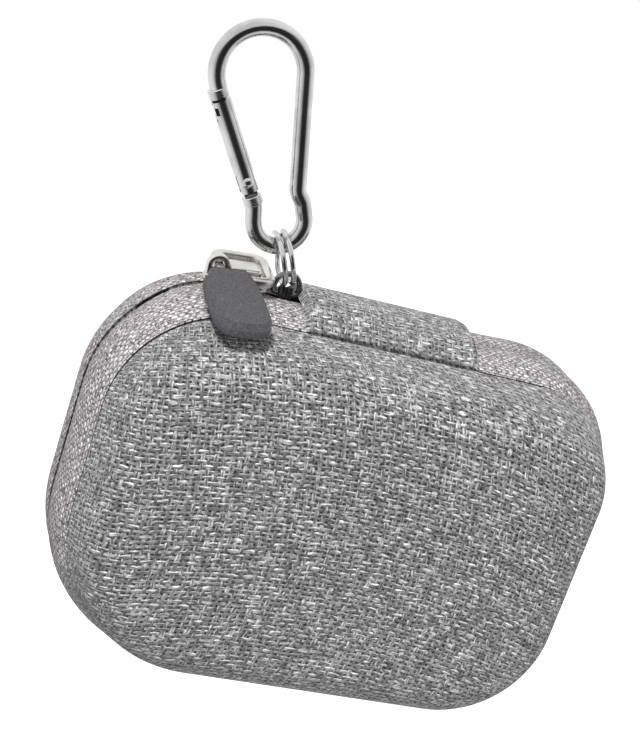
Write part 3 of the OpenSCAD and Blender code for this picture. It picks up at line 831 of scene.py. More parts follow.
@dataclass(frozen=True)
class Weave(Finish):
    """Woven cloth of two sets of threads, with streaks along each thread, and painted shade in its hollows and creases.
    """

    roughness: float = 0.85
    ior: float = 1.45
    sheen: float = 0.25
    across: float = 1.12
    up: float = 0.84
    streak: float = 2.4
    wander: float = 0.9
    fullness: float = 0.65
    plain: float = 1.0
    row_lift: float = 0.2
    strand_share: float = 0.72
    # Darkness of the painted shade in the groove between a thread's two plies
    ply: float = 0.35
    lengthways: tuple[tuple[float, str], ...] = ((0.36, "#3c3c3c"), (0.5, "#8b8b8b"), (0.64, "#f8f8f8"))
    crossways: tuple[tuple[float, str], ...] = ((0.36, "#363636"), (0.5, "#797979"), (0.64, "#e4e4e4"))
    # Brightness left by the painted shade in the holes between threads
    painted_hollow_shade: float = 0.0
    relief: float = 0.16

    def make(self) -> bpy.types.Material:
        """Builds the weave from the cell of each crossing, with one noise along the rows and one up the columns."""
        material, tree, shader = self.begin()

        def maths(operation: str, *values: Any) -> Any:
            return sum_of(tree, operation, *values)

        flat = add_node(tree, "ShaderNodeUVMap", uv_map="cloth").outputs["UV"]
        spot = add_node(tree, "ShaderNodeVectorMath", {0: flat, "Scale": 100.0}, operation="SCALE").outputs[0]
        drift = add_node(tree, "ShaderNodeTexNoise", {"Vector": spot, "Scale": 0.35, "Detail": 2.0})
        shift = add_node(tree, "ShaderNodeVectorMath", {0: drift.outputs["Color"], 1: (0.5, 0.5, 0.5)},
                         operation="SUBTRACT").outputs[0]
        shift = add_node(tree, "ShaderNodeVectorMath", {0: shift, "Scale": self.wander}, operation="SCALE").outputs[0]
        spot = add_node(tree, "ShaderNodeVectorMath", {0: spot, 1: shift}, operation="ADD").outputs[0]
        parts = add_node(tree, "ShaderNodeSeparateXYZ", {0: spot}).outputs
        # The crease attribute carries painted shade for creases, grooves and the slot's edges
        crease = add_node(tree, "ShaderNodeAttribute", attribute_name="crease").outputs["Fac"]
        a, b = maths("DIVIDE", parts[0], self.across), maths("DIVIDE", parts[1], self.up)
        column, row = maths("FLOOR", a), maths("FLOOR", b)
        off_a = maths("SUBTRACT", maths("SUBTRACT", a, column), 0.5)
        off_b = maths("SUBTRACT", maths("SUBTRACT", b, row), 0.5)

        def streaks(x: Any, y: Any, seed: float) -> Any:
            where = add_node(tree, "ShaderNodeCombineXYZ", {0: x, 1: y, 2: seed}).outputs[0]
            return add_node(tree, "ShaderNodeTexNoise", {"Vector": where, "Scale": 1.0, "Detail": 3.0,
                                                         "Roughness": 0.6}).outputs[0]

        along = streaks(maths("DIVIDE", parts[0], self.streak), maths("MULTIPLY", row, 3.71), 0.0)
        upright = streaks(maths("MULTIPLY", column, 5.13), maths("DIVIDE", parts[1], self.streak), 9.0)
        strand, length = self.up * 0.34, self.across * 1.3
        fine_row = streaks(maths("DIVIDE", parts[0], length), maths("DIVIDE", parts[1], strand), 4.0)
        fine_column = streaks(maths("DIVIDE", parts[0], strand), maths("DIVIDE", parts[1], length), 6.0)

        def thread(cross: Any, way: Any, other: Any, thickness: Any, sign: float) -> Any:
            ripple = maths("SINE", maths("MULTIPLY", way, math.pi))
            flip = maths("SUBTRACT", 1.0, maths("MULTIPLY", maths("FLOORED_MODULO", other, 2.0), 2.0))
            lift = maths("MULTIPLY", maths("MULTIPLY", ripple, flip), 0.5 * sign * self.plain)
            width = maths("ADD", maths("MULTIPLY", thickness, 0.9), self.fullness - 0.45)
            edge = maths("DIVIDE", maths("ABSOLUTE", cross), maths("MULTIPLY", width, 0.5))
            return maths("ADD", lift, maths("SUBTRACT", 1.0, maths("POWER", edge, 2.0)))

        height_row = maths("ADD", thread(off_b, a, row, along, 1.0), self.row_lift)
        height_column = thread(off_a, b, column, upright, -1.0)
        over = maths("GREATER_THAN", height_row, height_column)
        height = maths("MAXIMUM", maths("MAXIMUM", height_row, height_column), -0.6)

        def mixed(long: Any, fine: Any) -> Any:
            return maths("ADD", maths("MULTIPLY", long, 1 - self.strand_share),
                         maths("MULTIPLY", fine, self.strand_share))

        # Painted shade: a dark line down the middle of each thread, in the groove between its two plies
        def valley(cross: Any) -> Any:
            dip = maths("EXPONENT", maths("MULTIPLY", maths("MULTIPLY", cross, cross), -90.0))
            return maths("SUBTRACT", 1.0, maths("MULTIPLY", dip, self.ply))

        mixed_row, mixed_column = mixed(along, fine_row), mixed(upright, fine_column)
        ply_groove_shade = add_node(tree, "ShaderNodeMix", {0: over, 2: valley(off_a), 3: valley(off_b)}).outputs[0]
        tone_row, tone_column = ramp(tree, mixed_row, self.lengthways), ramp(tree, mixed_column, self.crossways)
        tone = add_node(tree, "ShaderNodeMix", {0: over, 6: tone_column, 7: tone_row}, data_type="RGBA").outputs[2]
        fibres = add_node(tree, "ShaderNodeTexNoise", {"Vector": spot, "Scale": 7.0, "Detail": 2.0}).outputs[0]
        # Painted shade: the colour is darkened where the threads dip, to the hollow level in the holes between
        # crossings
        depth = add_node(tree, "ShaderNodeMapRange", {"Value": height, "From Min": -0.4, "From Max": 0.75,
                                                      "To Min": self.painted_hollow_shade, "To Max": 1.0}).outputs[0]
        grain = add_node(tree, "ShaderNodeMapRange", {"Value": fibres, "From Min": 0.3, "From Max": 0.7,
                                                      "To Min": 0.8, "To Max": 1.15}).outputs[0]
        shade = maths("MULTIPLY", maths("MULTIPLY", depth, ply_groove_shade), grain)
        # Painted shade: the colour is darkened to 4% where the crease attribute is 1
        shade = maths("MULTIPLY", shade, maths("SUBTRACT", 1.0, maths("MULTIPLY", crease, 0.96)))
        colour = add_node(tree, "ShaderNodeVectorMath", {0: tone, "Scale": shade}, operation="SCALE").outputs[0]
        tree.links.new(colour, shader.inputs["Base Color"])
        bumps = maths("ADD", height, maths("MULTIPLY", fibres, 0.35))
        relief = add_node(tree, "ShaderNodeBump", {"Height": bumps, "Strength": 1.0, "Distance": self.relief * MM})
        tree.links.new(relief.outputs[0], shader.inputs["Normal"])
        return material


@dataclass(frozen=True)
class Moulded(Finish):
    """A moulded rubber, foam or plastic with a fine grain and softened edges."""

    roughness: float = 0.6
    colour: str = "#626165"
    speck: str = "#6e6d71"
    grain: float = 9.0
    relief: float = 0.02
    edge: float = 0.12

    def make(self) -> bpy.types.Material:
        """Builds the material from a fine noise for specks and bumps, over normals rounded at the edges."""
        material, tree, shader = self.begin()
        spot = add_node(tree, "ShaderNodeTexCoord").outputs["Object"]
        specks = add_node(tree, "ShaderNodeTexNoise", {"Vector": spot, "Scale": self.grain / MM, "Detail": 3.0})
        tree.links.new(ramp(tree, specks.outputs[0], [(0.4, self.colour), (0.75, self.speck)]),
                       shader.inputs["Base Color"])
        soft = add_node(tree, "ShaderNodeBevel", {"Radius": self.edge * MM}, samples=4)
        relief = add_node(tree, "ShaderNodeBump", {"Height": specks.outputs[0], "Strength": 0.6,
                                                   "Distance": self.relief * MM, "Normal": soft.outputs[0]})
        tree.links.new(relief.outputs[0], shader.inputs["Normal"])
        return material


class Finishes:
    """The finishes by the record's material slots, each made once."""

    def __init__(self) -> None:
        """Makes every finish."""
        self.slots: dict[str, bpy.types.Material] = {
            "hook_steel": Metal("nickel plated steel").make(),
            "ring_steel": Metal("bright nickel plated spring steel", roughness=0.1).make(),
            "dark_steel": Metal("black nickel plated steel", colour="#a3a1a2", shade="#777576", roughness=0.18).make(),
            "slider_metal": Metal("satin plated zinc casting", colour="#e4e1dc", shade="#d2cfca", roughness=0.24,
                                  bump=0.1).make(),
            "heather_fabric": Weave("heather linen look polyester").make(),
            "zip_tape": Weave("woven zip tape", sheen=0.0, across=0.62, up=0.5, streak=0.8, wander=0.2,
                              fullness=0.76, strand_share=0.5, ply=0.0,
                              lengthways=((0.39, "#5a5758"), (0.61, "#f4eff0")),
                              crossways=((0.39, "#3c393a"), (0.61, "#b2adae")), painted_hollow_shade=0.0, relief=0.1).make(),
            "teeth": Moulded("moulded nylon zip teeth", colour="#0b0a0a", speck="#121111", roughness=0.9,
                              ior=1.2).make(),
            "foam": Moulded("moulded closed cell foam", colour="#262627", speck="#303031", roughness=0.8).make(),
            "lining": Moulded("dark knitted lining", colour="#343437", speck="#454549", roughness=0.9,
                              grain=3.0, relief=0.06).make(),
            "webbing": Moulded("dark woven webbing", colour="#1e1d1d", speck="#343333", roughness=0.7,
                               grain=4.0, relief=0.08).make(),
            "tab_rubber": Moulded("matt grey rubber", colour="#3b3a3d", speck="#5b5a5e", grain=3.6, relief=0.04,
                                  edge=0.05).make(),
        }

    def dress(self, node_slots: dict[str, str]) -> None:
        """Gives the CAD nodes that stay the finishes of their slots.

        Args:
            node_slots: Material slot of each node.
        """
        for name, node in frame["nodes"].items():
            for k in range(len(node.material_slots)):
                node.material_slots[k].material = self.slots[node_slots[name]]


# Pieces of the case


def face_away(obj: bpy.types.Object, from_point: Vector) -> None:
    """Turns the faces of an open sheet away from a point, in edit mode."""
    bpy.ops.mesh.select_all(action="SELECT")
    bpy.ops.mesh.normals_make_consistent(inside=False)
    mesh = bmesh.from_edit_mesh(obj.data)
    outwards = sum(f.normal.dot(f.calc_center_median() - from_point) * f.calc_area() for f in mesh.faces)
    if outwards < 0:
        bpy.ops.mesh.flip_normals()


def thicken(obj: bpy.types.Object, thickness: float, edge: float) -> None:
    """Gives an open sheet its thickness inwards and rounds its cut edges.

    Args:
        obj: The sheet, with its faces turned outwards.
        thickness: Thickness in millimetres.
        edge: Radius of the rounded edges.
    """
    shape(obj, "SOLIDIFY", thickness=thickness, offset=-1, use_even_offset=True)
    shape(obj, "BEVEL", width=edge, segments=3, limit_method="ANGLE", angle_limit=math.radians(55))


def finish_piece(obj: bpy.types.Object, material: bpy.types.Material, slot: str, *nodes: str) -> bpy.types.Object:
    """Gives a piece its finish and hides the CAD nodes that it replaces.

    Args:
        obj: The piece.
        material: Its finish.
        slot: Name of the record's material slot; not used.
        nodes: CAD nodes that the piece replaces.

    Returns:
        The same object.
    """
    obj.data.materials.clear()
    obj.data.materials.append(material)
    if nodes:
        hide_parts(*nodes)
    log.info("%s: %d faces", obj.name, len(obj.data.polygons))
    return obj


@dataclass
class Half:
    """One moulded half: its woven cover and its zip tape."""

    side: Side
    finishes: Finishes
    cover_edge: float = 0.25
    tape_edge: float = 0.15
    tape_steps: int = 8
    face_rings: int = 14
    crown: float = 0.35
    slot_open: float = 0.2
    groove: float = 0.78
    crest_lift: float = 0.35
    slot_shift: float = 1.1

    @property
    def body(self) -> Body:
        """Body that this half rides on."""
        return Body.LID if self.side is Side.FRONT else Body.BACK

    def sheet(self, name: str, line: Sequence[tuple[float, float]], start_x: float, end_x: float) -> bpy.types.Object:
        """Sweeps a profile round the case.

        Args:
            name: Name of the new piece.
            line: Profile as inset and depth.
            start_x: Place on the top side at which the sheet begins.
            end_x: Place on the top side at which it ends.

        Returns:
            The new object, open for editing.
        """
        points = [Vector((start_x, self.side.value * d, CASE.half_h - i)) for i, d in line]
        obj = draw_line(name, points, closed=False)
        sweep(outline_moves(start_x, end_x))
        weld(closed=False)
        return obj

    def cover(self) -> bpy.types.Object:
        """Builds the woven cover, from the lip up the wall and over the face."""
        line = CASE.edge_line(0, CASE.lip_depth)
        obj = self.sheet(f"{self.side.name.lower()}_cover", line, 0, 0)
        pick_vertices(obj, lambda co: abs(abs(co.y) - CASE.depth) < 1e-3)
        for k in range(self.face_rings):
            bpy.ops.mesh.extrude_region_move(TRANSFORM_OT_translate={"value": (0, 0, 0)})
            share = 1 - 1 / (self.face_rings - k + 0.3)
            bpy.ops.transform.resize(value=(share, 1, share), center_override=(0, 0, 0))
        bpy.ops.mesh.edge_face_add()
        bpy.ops.mesh.select_all(action="SELECT")
        mesh = bmesh.from_edit_mesh(obj.data)
        for vertex in mesh.verts:
            inner = footing(vertex.co.x, vertex.co.z).inset - CASE.arc_inset
            if inner > 0 and abs(vertex.co.y) > CASE.arc_depth:
                vertex.co.y += self.side.value * self.crown * (1 - math.exp(-inner / 6))
        bmesh.update_edit_mesh(obj.data)
        face_away(obj, Vector((0, 0, 0)))
        end_edit()
        thicken(obj, CASE.fabric, self.cover_edge)
        lay_out(obj, unfold_wall(line))
        place(obj, HANG, smooth=50)
        finish_piece(obj, self.finishes.slots["heather_fabric"], "heather_fabric", f"{self.side.name.lower()}_fabric")
        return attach(obj, self.body.value)

    def tape(self) -> bpy.types.Object:
        """Builds the zip tape, crowned between the slot and the lip and tucked behind the lip."""
        first, last = CASE.slot / 2 + self.slot_open, CASE.lip_depth - self.groove
        # From dark_from to the lip the tape is darkened as painted shade in the groove under the lip
        dark_from = last - 0.1
        depths = [first, first + 0.3] + [first + (dark_from - 0.06 - first) * k / self.tape_steps
                                         for k in range(1, self.tape_steps + 1)] + [dark_from, last]
        line = [(CASE.tape_inset(d) - self.crest_lift * (1 - (d / last) ** 2), d) for d in depths]
        dip = 0.5
        line += [(CASE.tape_inset(last + 0.15) + dip, last + 0.15), (CASE.lip_root + dip, CASE.lip_depth - 0.05),
                 CASE.tuck]
        obj = self.sheet(f"{self.side.name.lower()}_zip_tape", line, CASE.hinge_half, -CASE.hinge_half)
        mesh = bmesh.from_edit_mesh(obj.data)
        for vertex in mesh.verts:
            if abs(vertex.co.y) < first + 0.35:
                vertex.co.y -= self.side.value * (first - 0.1) * self.closed(vertex.co)
            crest = max(0.0, 1 - (vertex.co.y / last) ** 2)
            vertex.co.y += self.slot_shift * self.drawn_back(vertex.co) * crest
            if vertex.co.z > 0:
                vertex.co.z -= self.crest_lift * crest * min(1.0, max(0.0, (24 - abs(vertex.co.x)) / 5))
        bmesh.update_edit_mesh(obj.data)
        face_away(obj, Vector((0, 0, 0)))
        end_edit()
        thicken(obj, CASE.tape, self.tape_edge)
        lay_out(obj, lambda co: (footing(co.x, co.z).along, abs(co.y)))

        # Painted shade: dark in the groove under the lip and along the slot's edges, less where the tapes meet
        def crease(co: Vector) -> float:
            at = abs(co.y - self.slot_shift * self.drawn_back(co))
            if abs(co.y) > dark_from - 0.03:
                return 1.0
            return float(at < first + 0.08) * (1 - 0.75 * self.closed(co))

        paint_crease_shade(obj, crease)
        place(obj, HANG, smooth=50)
        finish_piece(obj, self.finishes.slots["zip_tape"], "zip_tape", f"{self.side.name.lower()}_tape")
        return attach(obj, self.body.value)

    def closed(self, co: Vector) -> float:
        """How far the tapes meet over the teeth: fully on the top side, right of the roll."""
        return min(1.0, max(0.0, (co.z - 12) / 8)) if co.x > 0 else 0.0

    def drawn_back(self, co: Vector) -> float:
        """How far the slot is drawn to the back: most at the top left corner, where the slider pulls it."""
        return 0.5 + 0.5 * math.cos(math.pi * min(1.0, abs(co.x + 32) / 9)) if co.z > 0 else 0.0

    def build(self) -> None:
        """Builds both pieces of this half."""
        self.cover()
        self.tape()


@dataclass
class HingeRoll:
    """The rolled and padded cloth hinge on the top side."""

    finishes: Finishes
    arc_steps: int = 28
    steps: int = 36
    end_drop: float = 1.9
    end_run: float = 1.5
    edge: float = 0.2
    reach_left: float = 0.5

    def height(self, y: float, rise: float) -> float:
        """Height of the roll over the zip line at a depth, for a rise of its crest."""
        r = CASE.roll_radius
        return rise - r + math.sqrt(r * r - y * y)

    def build(self) -> bpy.types.Object:
        """Builds the roll as one sheet over both lips, drawn down at its two ends."""
        lip, half = CASE.lip_depth, CASE.hinge_half
        line = [(-CASE.tuck[1], -CASE.tuck[0])]
        groove = 0.7
        for k in range(-1, self.arc_steps + 2):
            y = max(-lip, min(lip, (lip - groove) * (2 * k / self.arc_steps - 1)))
            line.append((y, self.height(y, CASE.hinge_rise) - (0.3 if abs(y) > lip - 0.1 else 0)))
        line.append((CASE.tuck[1], -CASE.tuck[0]))
        left = half + self.reach_left
        obj = draw_line("hinge_roll_cloth", [Vector((-left, y, CASE.half_h + z)) for y, z in line], closed=False)
        sweep([Straight(Vector((left + half, 0, 0)), self.steps)])
        weld(closed=False)
        mesh = bmesh.from_edit_mesh(obj.data)
        for vertex in mesh.verts:
            to_end = min(left + vertex.co.x, half - vertex.co.x)
            if to_end < self.end_run and abs(vertex.co.y) <= lip:
                share = 1 - math.sqrt(max(0.0, 1 - (1 - to_end / self.end_run) ** 2))
                crest = 1 - (vertex.co.y / lip) ** 2
                vertex.co.z -= self.end_drop * share * crest
        bmesh.update_edit_mesh(obj.data)
        face_away(obj, Vector((0, 0, 0)))
        end_edit()
        thicken(obj, CASE.tape, self.edge)
        lay_out(obj, lambda co: (co.x, co.y * 1.06 + 3.3))
        # Painted shade where the roll's edges pass under the lips
        paint_crease_shade(obj, lambda co: float(abs(co.y) > lip - groove - 0.05) * 0.85)
        place(obj, HANG, smooth=50)
        finish_piece(obj, self.finishes.slots["heather_fabric"], "heather_fabric", "hinge_roll")
        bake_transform(obj)
        return obj


# Slider, pull and tab


def ring_of(centre: Vector, radius: float, normal: str, sides: int, squareness: float = 2.0) -> list[Vector]:
    """Points of a wire's cross section.

    Args:
        centre: Middle of the section.
        radius: Half the wire's width.
        normal: Axis that the wire runs along, as X, Y or Z.
        sides: Number of points.
        squareness: Power of the section's curve, 2 for a circle and more for a squarer bar.

    Returns:
        The points in order.
    """
    points = []
    for k in range(sides):
        a = 2 * math.pi * k / sides
        c, d = math.cos(a), math.sin(a)
        u = radius * math.copysign(abs(c) ** (2 / squareness), c)
        v = radius * math.copysign(abs(d) ** (2 / squareness), d)
        points.append(centre + {"X": Vector((0, u, v)), "Y": Vector((u, 0, v)), "Z": Vector((u, v, 0))}[normal])
    return points


def slab(name: str, outline: Sequence[tuple[float, float]], low: float, high: float) -> bpy.types.Object:
    """Extrudes a closed outline in the XY plane into a slab.

    Args:
        name: Name of the new piece.
        outline: Points of the outline.
        low: Height of the slab's underside.
        high: Height of its top.

    Returns:
        The new object, open for editing with its top face selected.
    """
    obj = draw_line(name, [Vector((x, y, low)) for x, y in outline], closed=True)
    bpy.ops.mesh.edge_face_add()
    bpy.ops.mesh.extrude_region_move(TRANSFORM_OT_translate={"value": (0, 0, high - low)})
    return obj


def box(name: str, low: Vector, high: Vector) -> bpy.types.Object:
    """Makes a block between two corners, in object mode."""
    obj = slab(name, [(low.x, low.y), (high.x, low.y), (high.x, high.y), (low.x, high.y)], low.z, high.z)
    weld(closed=False)
    end_edit()
    return obj


def rod(name: str, start: Vector, end: Vector, radius: float, axis: str, sides: int = 32) -> bpy.types.Object:
    """Makes a round rod along one axis, in object mode."""
    obj = draw_line(name, ring_of(start, radius, axis, sides), closed=True)
    bpy.ops.mesh.edge_face_add()
    bpy.ops.mesh.extrude_region_move(TRANSFORM_OT_translate={"value": end - start})
    weld(closed=False)
    end_edit()
    return obj


def join(first: bpy.types.Object, *others: bpy.types.Object) -> bpy.types.Object:
    """Joins objects into the first one."""
    take(first)
    for other in others:
        other.select_set(True)
    bpy.ops.object.join()
    return first


def combine(obj: bpy.types.Object, tool: bpy.types.Object, operation: str) -> None:
    """Adds a solid to a piece or takes it away, and removes the solid.

    Args:
        obj: The piece.
        tool: The solid.
        operation: Blender's name for the operation, UNION or DIFFERENCE.
    """
    shape(obj, "BOOLEAN", operation=operation, object=tool, solver="MANIFOLD")
    bpy.data.objects.remove(tool)


@dataclass
class ZipSlider:
    """The slider with its bridge, the cast pull ring and the rubber tab."""

    finishes: Finishes
    bar_sides: int = 20
    tab_stands_off: float = 7.5
    tab_taper: float = 0.7
    top_left: float = 0.7
    lower_right: float = 0.2
    step: float = 0.32
    step_in: float = 0.35
    step_up: float = 0.9
    hump_rise: float = 1.6

    def plate(self, name: str, width: float, low: float, high: float, edge: float) -> bpy.types.Object:
        """Builds one of the slider's two plates, narrow and round at its nose."""
        length, nose, tail = SLIDER.length, width * 0.36, width * 0.28
        outline = []
        for k in range(13):
            a = math.radians(90 + 180 * k / 12)
            outline.append((-length / 2 + nose + nose * math.cos(a), nose * math.sin(a)))
        for side in (-1, 1):
            for k in range(7):
                a = math.radians((-90 if side < 0 else 0) + 90 * k / 6)
                outline.append((length / 2 - tail + tail * math.cos(a), side * (width / 2 - tail) + tail * math.sin(a)))
        obj = slab(name, outline, low, high)
        weld(closed=False)
        end_edit()
        shape(obj, "BEVEL", width=edge, segments=3, limit_method="ANGLE", angle_limit=math.radians(50))
        return obj

    def body(self) -> bpy.types.Object:
        """Builds the slider: two plates, the wedge between them and the bridge over the ring."""
        top = SLIDER.plate_up + SLIDER.plate
        obj = self.plate("zip_slider", SLIDER.width, SLIDER.plate_up, top, 0.35)
        low = self.plate("low_plate", SLIDER.width - 1.2, -SLIDER.plate_down - SLIDER.plate_low, -SLIDER.plate_down, 0.2)
        x = SLIDER.length / 2 - SLIDER.wedge - 1.2
        wedge = box("wedge", Vector((x, -SLIDER.wedge_t / 2, -SLIDER.plate_down - 0.1)),
                    Vector((x + SLIDER.wedge, SLIDER.wedge_t / 2, SLIDER.plate_up + 0.1)))
        inner, wide = SLIDER.bridge_in, SLIDER.bridge_w / 2
        leg = SLIDER.pull_z - top
        start = Vector((SLIDER.pull_x + inner, -wide, top - 0.1))
        bridge = draw_line("bridge", [start, start + Vector((SLIDER.bridge, 0, 0)),
                                      start + Vector((SLIDER.bridge, 2 * wide, 0)),
                                      start + Vector((0, 2 * wide, 0))], closed=True)
        sweep([Straight(Vector((0, 0, leg + 0.1)), 2),
               Turn(Vector((SLIDER.pull_x, 0, SLIDER.pull_z)), Vector((0, 1, 0)), -180, 20),
               Straight(Vector((0, 0, -leg - 0.1)), 2)])
        weld(closed=True)
        end_edit()
        shape(bridge, "BEVEL", width=0.2, segments=3, limit_method="ANGLE", angle_limit=math.radians(50))
        hump = slab("hump", self.hump_outline(), top - 0.1, top + self.hump_rise)
        bpy.ops.mesh.inset(thickness=0.35, depth=0)
        bpy.ops.transform.translate(value=(0, 0, 0.25))
        weld(closed=False)
        end_edit()
        shape(hump, "BEVEL", width=0.18, segments=3, limit_method="ANGLE", angle_limit=math.radians(20))
        join(obj, low, wedge, bridge, hump)
        place(obj, ON_SLIDER)
        finish_piece(obj, self.finishes.slots["slider_metal"], "slider_metal", "slider_body")
        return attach(obj, Body.SLIDER.value)

    def hump_outline(self) -> list[tuple[float, float]]:
        """Outline of the low housing that stands on the plate inside the pull ring."""
        points = []
        for cx, cy, first in ((2.6, 1.6, 0), (-0.6, 1.6, 90), (-0.6, -1.6, 180), (2.6, -1.6, 270)):
            for k in range(5):
                a = math.radians(first + 90 * k / 4)
                points.append((cx + 0.9 * math.cos(a), cy + 0.9 * math.sin(a)))
        return points

    def ring(self) -> bpy.types.Object:
        """Builds the cast pull ring, one squarish bar bent round four corners."""
        half_l, half_w, r = SLIDER.pull_len / 2, SLIDER.pull_w / 2, SLIDER.pull_corner
        obj = draw_line("pull_ring_casting", ring_of(Vector((0, -half_w, 0)), SLIDER.bar / 2, "X", self.bar_sides, 3.2),
                        closed=True)
        up = Vector((0, 0, 1))
        x, y = half_l - r, half_w - r
        sweep([Straight(Vector((x, 0, 0)), 2), Turn(Vector((x, -y, 0)), up, 90, 10),
               Straight(Vector((0, 2 * y, 0)), 4), Turn(Vector((x, y, 0)), up, 90, 10),
               Straight(Vector((-2 * x, 0, 0)), 4), Turn(Vector((-x, y, 0)), up, 90, 10),
               Straight(Vector((0, -2 * y, 0)), 4), Turn(Vector((-x, -y, 0)), up, 90, 10),
               Straight(Vector((x, 0, 0)), 2)])
        weld(closed=False)
        end_edit()
        tilt = Matrix.Rotation(math.radians(SLIDER.pull_tilt), 4, "X")
        place(obj, ON_SLIDER @ Matrix.Translation((SLIDER.pull_x + half_l, 0, SLIDER.pull_z)) @ tilt, smooth=60)
        finish_piece(obj, self.finishes.slots["slider_metal"], "slider_metal", "pull_ring")
        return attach(obj, Body.PULL.value)

    def tab_outline(self) -> list[tuple[float, float]]:
        """Outline of the tab: narrow at the top, swelling sides, and a low peak at the bottom."""
        top, wide, corner, top_corner = SLIDER.tab_top_w / 2 + 0.4, SLIDER.tab_w / 2 - 0.6, 2.9, 0.5
        side_at, bottom, peak = SLIDER.tab_len * 0.62, SLIDER.tab_len + 1.1, 0.6
        right = []
        for k in range(5):
            a = math.radians(90 - 90 * k / 4)
            right.append((top - top_corner + top_corner * math.cos(a), -top_corner + top_corner * math.sin(a)))
        for k in range(2, 11):
            u = 1 - k / 10
            right.append((wide - (wide - top) * u * u, -side_at * k / 10))
        for k in range(9):
            a = math.radians(-90 * k / 8)
            drop = -bottom + corner + corner * math.sin(a) + peak * math.sin(a)
            right.append((wide - corner + corner * math.cos(a), drop))
        left = [(-x - self.top_left * max(0.0, 1 + y / 5), y) for x, y in reversed(right)]
        right = [(x - self.lower_right * min(1.0, -y / 8), y) for x, y in right]
        return right + [(0, -bottom - peak)] + left

    def tab(self) -> bpy.types.Object:
        """Builds the rubber tab with its bevelled front, and bores its head for the ring."""
        base = SLIDER.tab_base
        obj = slab("rubber_tab", self.tab_outline(), base, base + SLIDER.tab_t - self.step_up)
        bpy.ops.mesh.inset(thickness=self.step, depth=0)
        bpy.ops.mesh.inset(thickness=self.step_in, depth=0)
        bpy.ops.transform.translate(value=(0, 0, self.step_up))
        weld(closed=False)
        end_edit()
        for vertex in obj.data.vertices:
            if vertex.co.z < base + 0.2:
                vertex.co.z += self.tab_taper * min(1.0, max(0.0, (-vertex.co.y - 3) / 7))
        shape(obj, "BEVEL", width=0.07, segments=2, limit_method="ANGLE", angle_limit=math.radians(14))
        head = Matrix.Translation((SLIDER.lug_w / 2 - SLIDER.tab_top_w / 2 - 0.36, SLIDER.tab_top + 0.2, 0))
        obj.matrix_world = head @ Matrix.Rotation(math.radians(SLIDER.tab_lean), 4, "Z")
        take(obj)
        bpy.ops.object.transform_apply(location=True, rotation=True, scale=True)
        half = SLIDER.lug_w / 2
        combine(obj, rod("lug", Vector((-half, 0, 0)), Vector((half, 0, 0)), SLIDER.lug_radius, "X", 40), "UNION")
        bore = SLIDER.bar / 2 + SLIDER.gap
        combine(obj, rod("bore", Vector((-3 * half, 0, 0)), Vector((3 * half, 0, 0)), bore, "X", 36), "DIFFERENCE")
        pocket = box("pocket", Vector((-half - SLIDER.tab_top_w, -1.0, -SLIDER.tab_t)), Vector((-half, 2.2, 0.95)))
        combine(obj, pocket, "DIFFERENCE")
        bar_y, bar_z = SLIDER.near_bar
        on_bar = Matrix.Translation((SLIDER.lug_x, bar_y, bar_z))
        slope = math.radians(SLIDER.tab_slope - self.tab_stands_off)
        place(obj, ON_SLIDER @ on_bar @ Matrix.Rotation(slope, 4, "X"), smooth=35)
        finish_piece(obj, self.finishes.slots["tab_rubber"], "tab_rubber", "pull_tab")
        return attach(obj, Body.TAB.value)

    def build(self) -> None:
        """Builds the three pieces."""
        self.body()
        self.ring()
        self.tab()


# Hook, rings and keeper


def section(where: Matrix, radius: float, sides: int) -> list[Vector]:
    """Points of a wire's round section, square to the Z axis of the given place."""
    return [where @ p for p in ring_of(Vector((0, 0, 0)), radius, "Z", sides)]


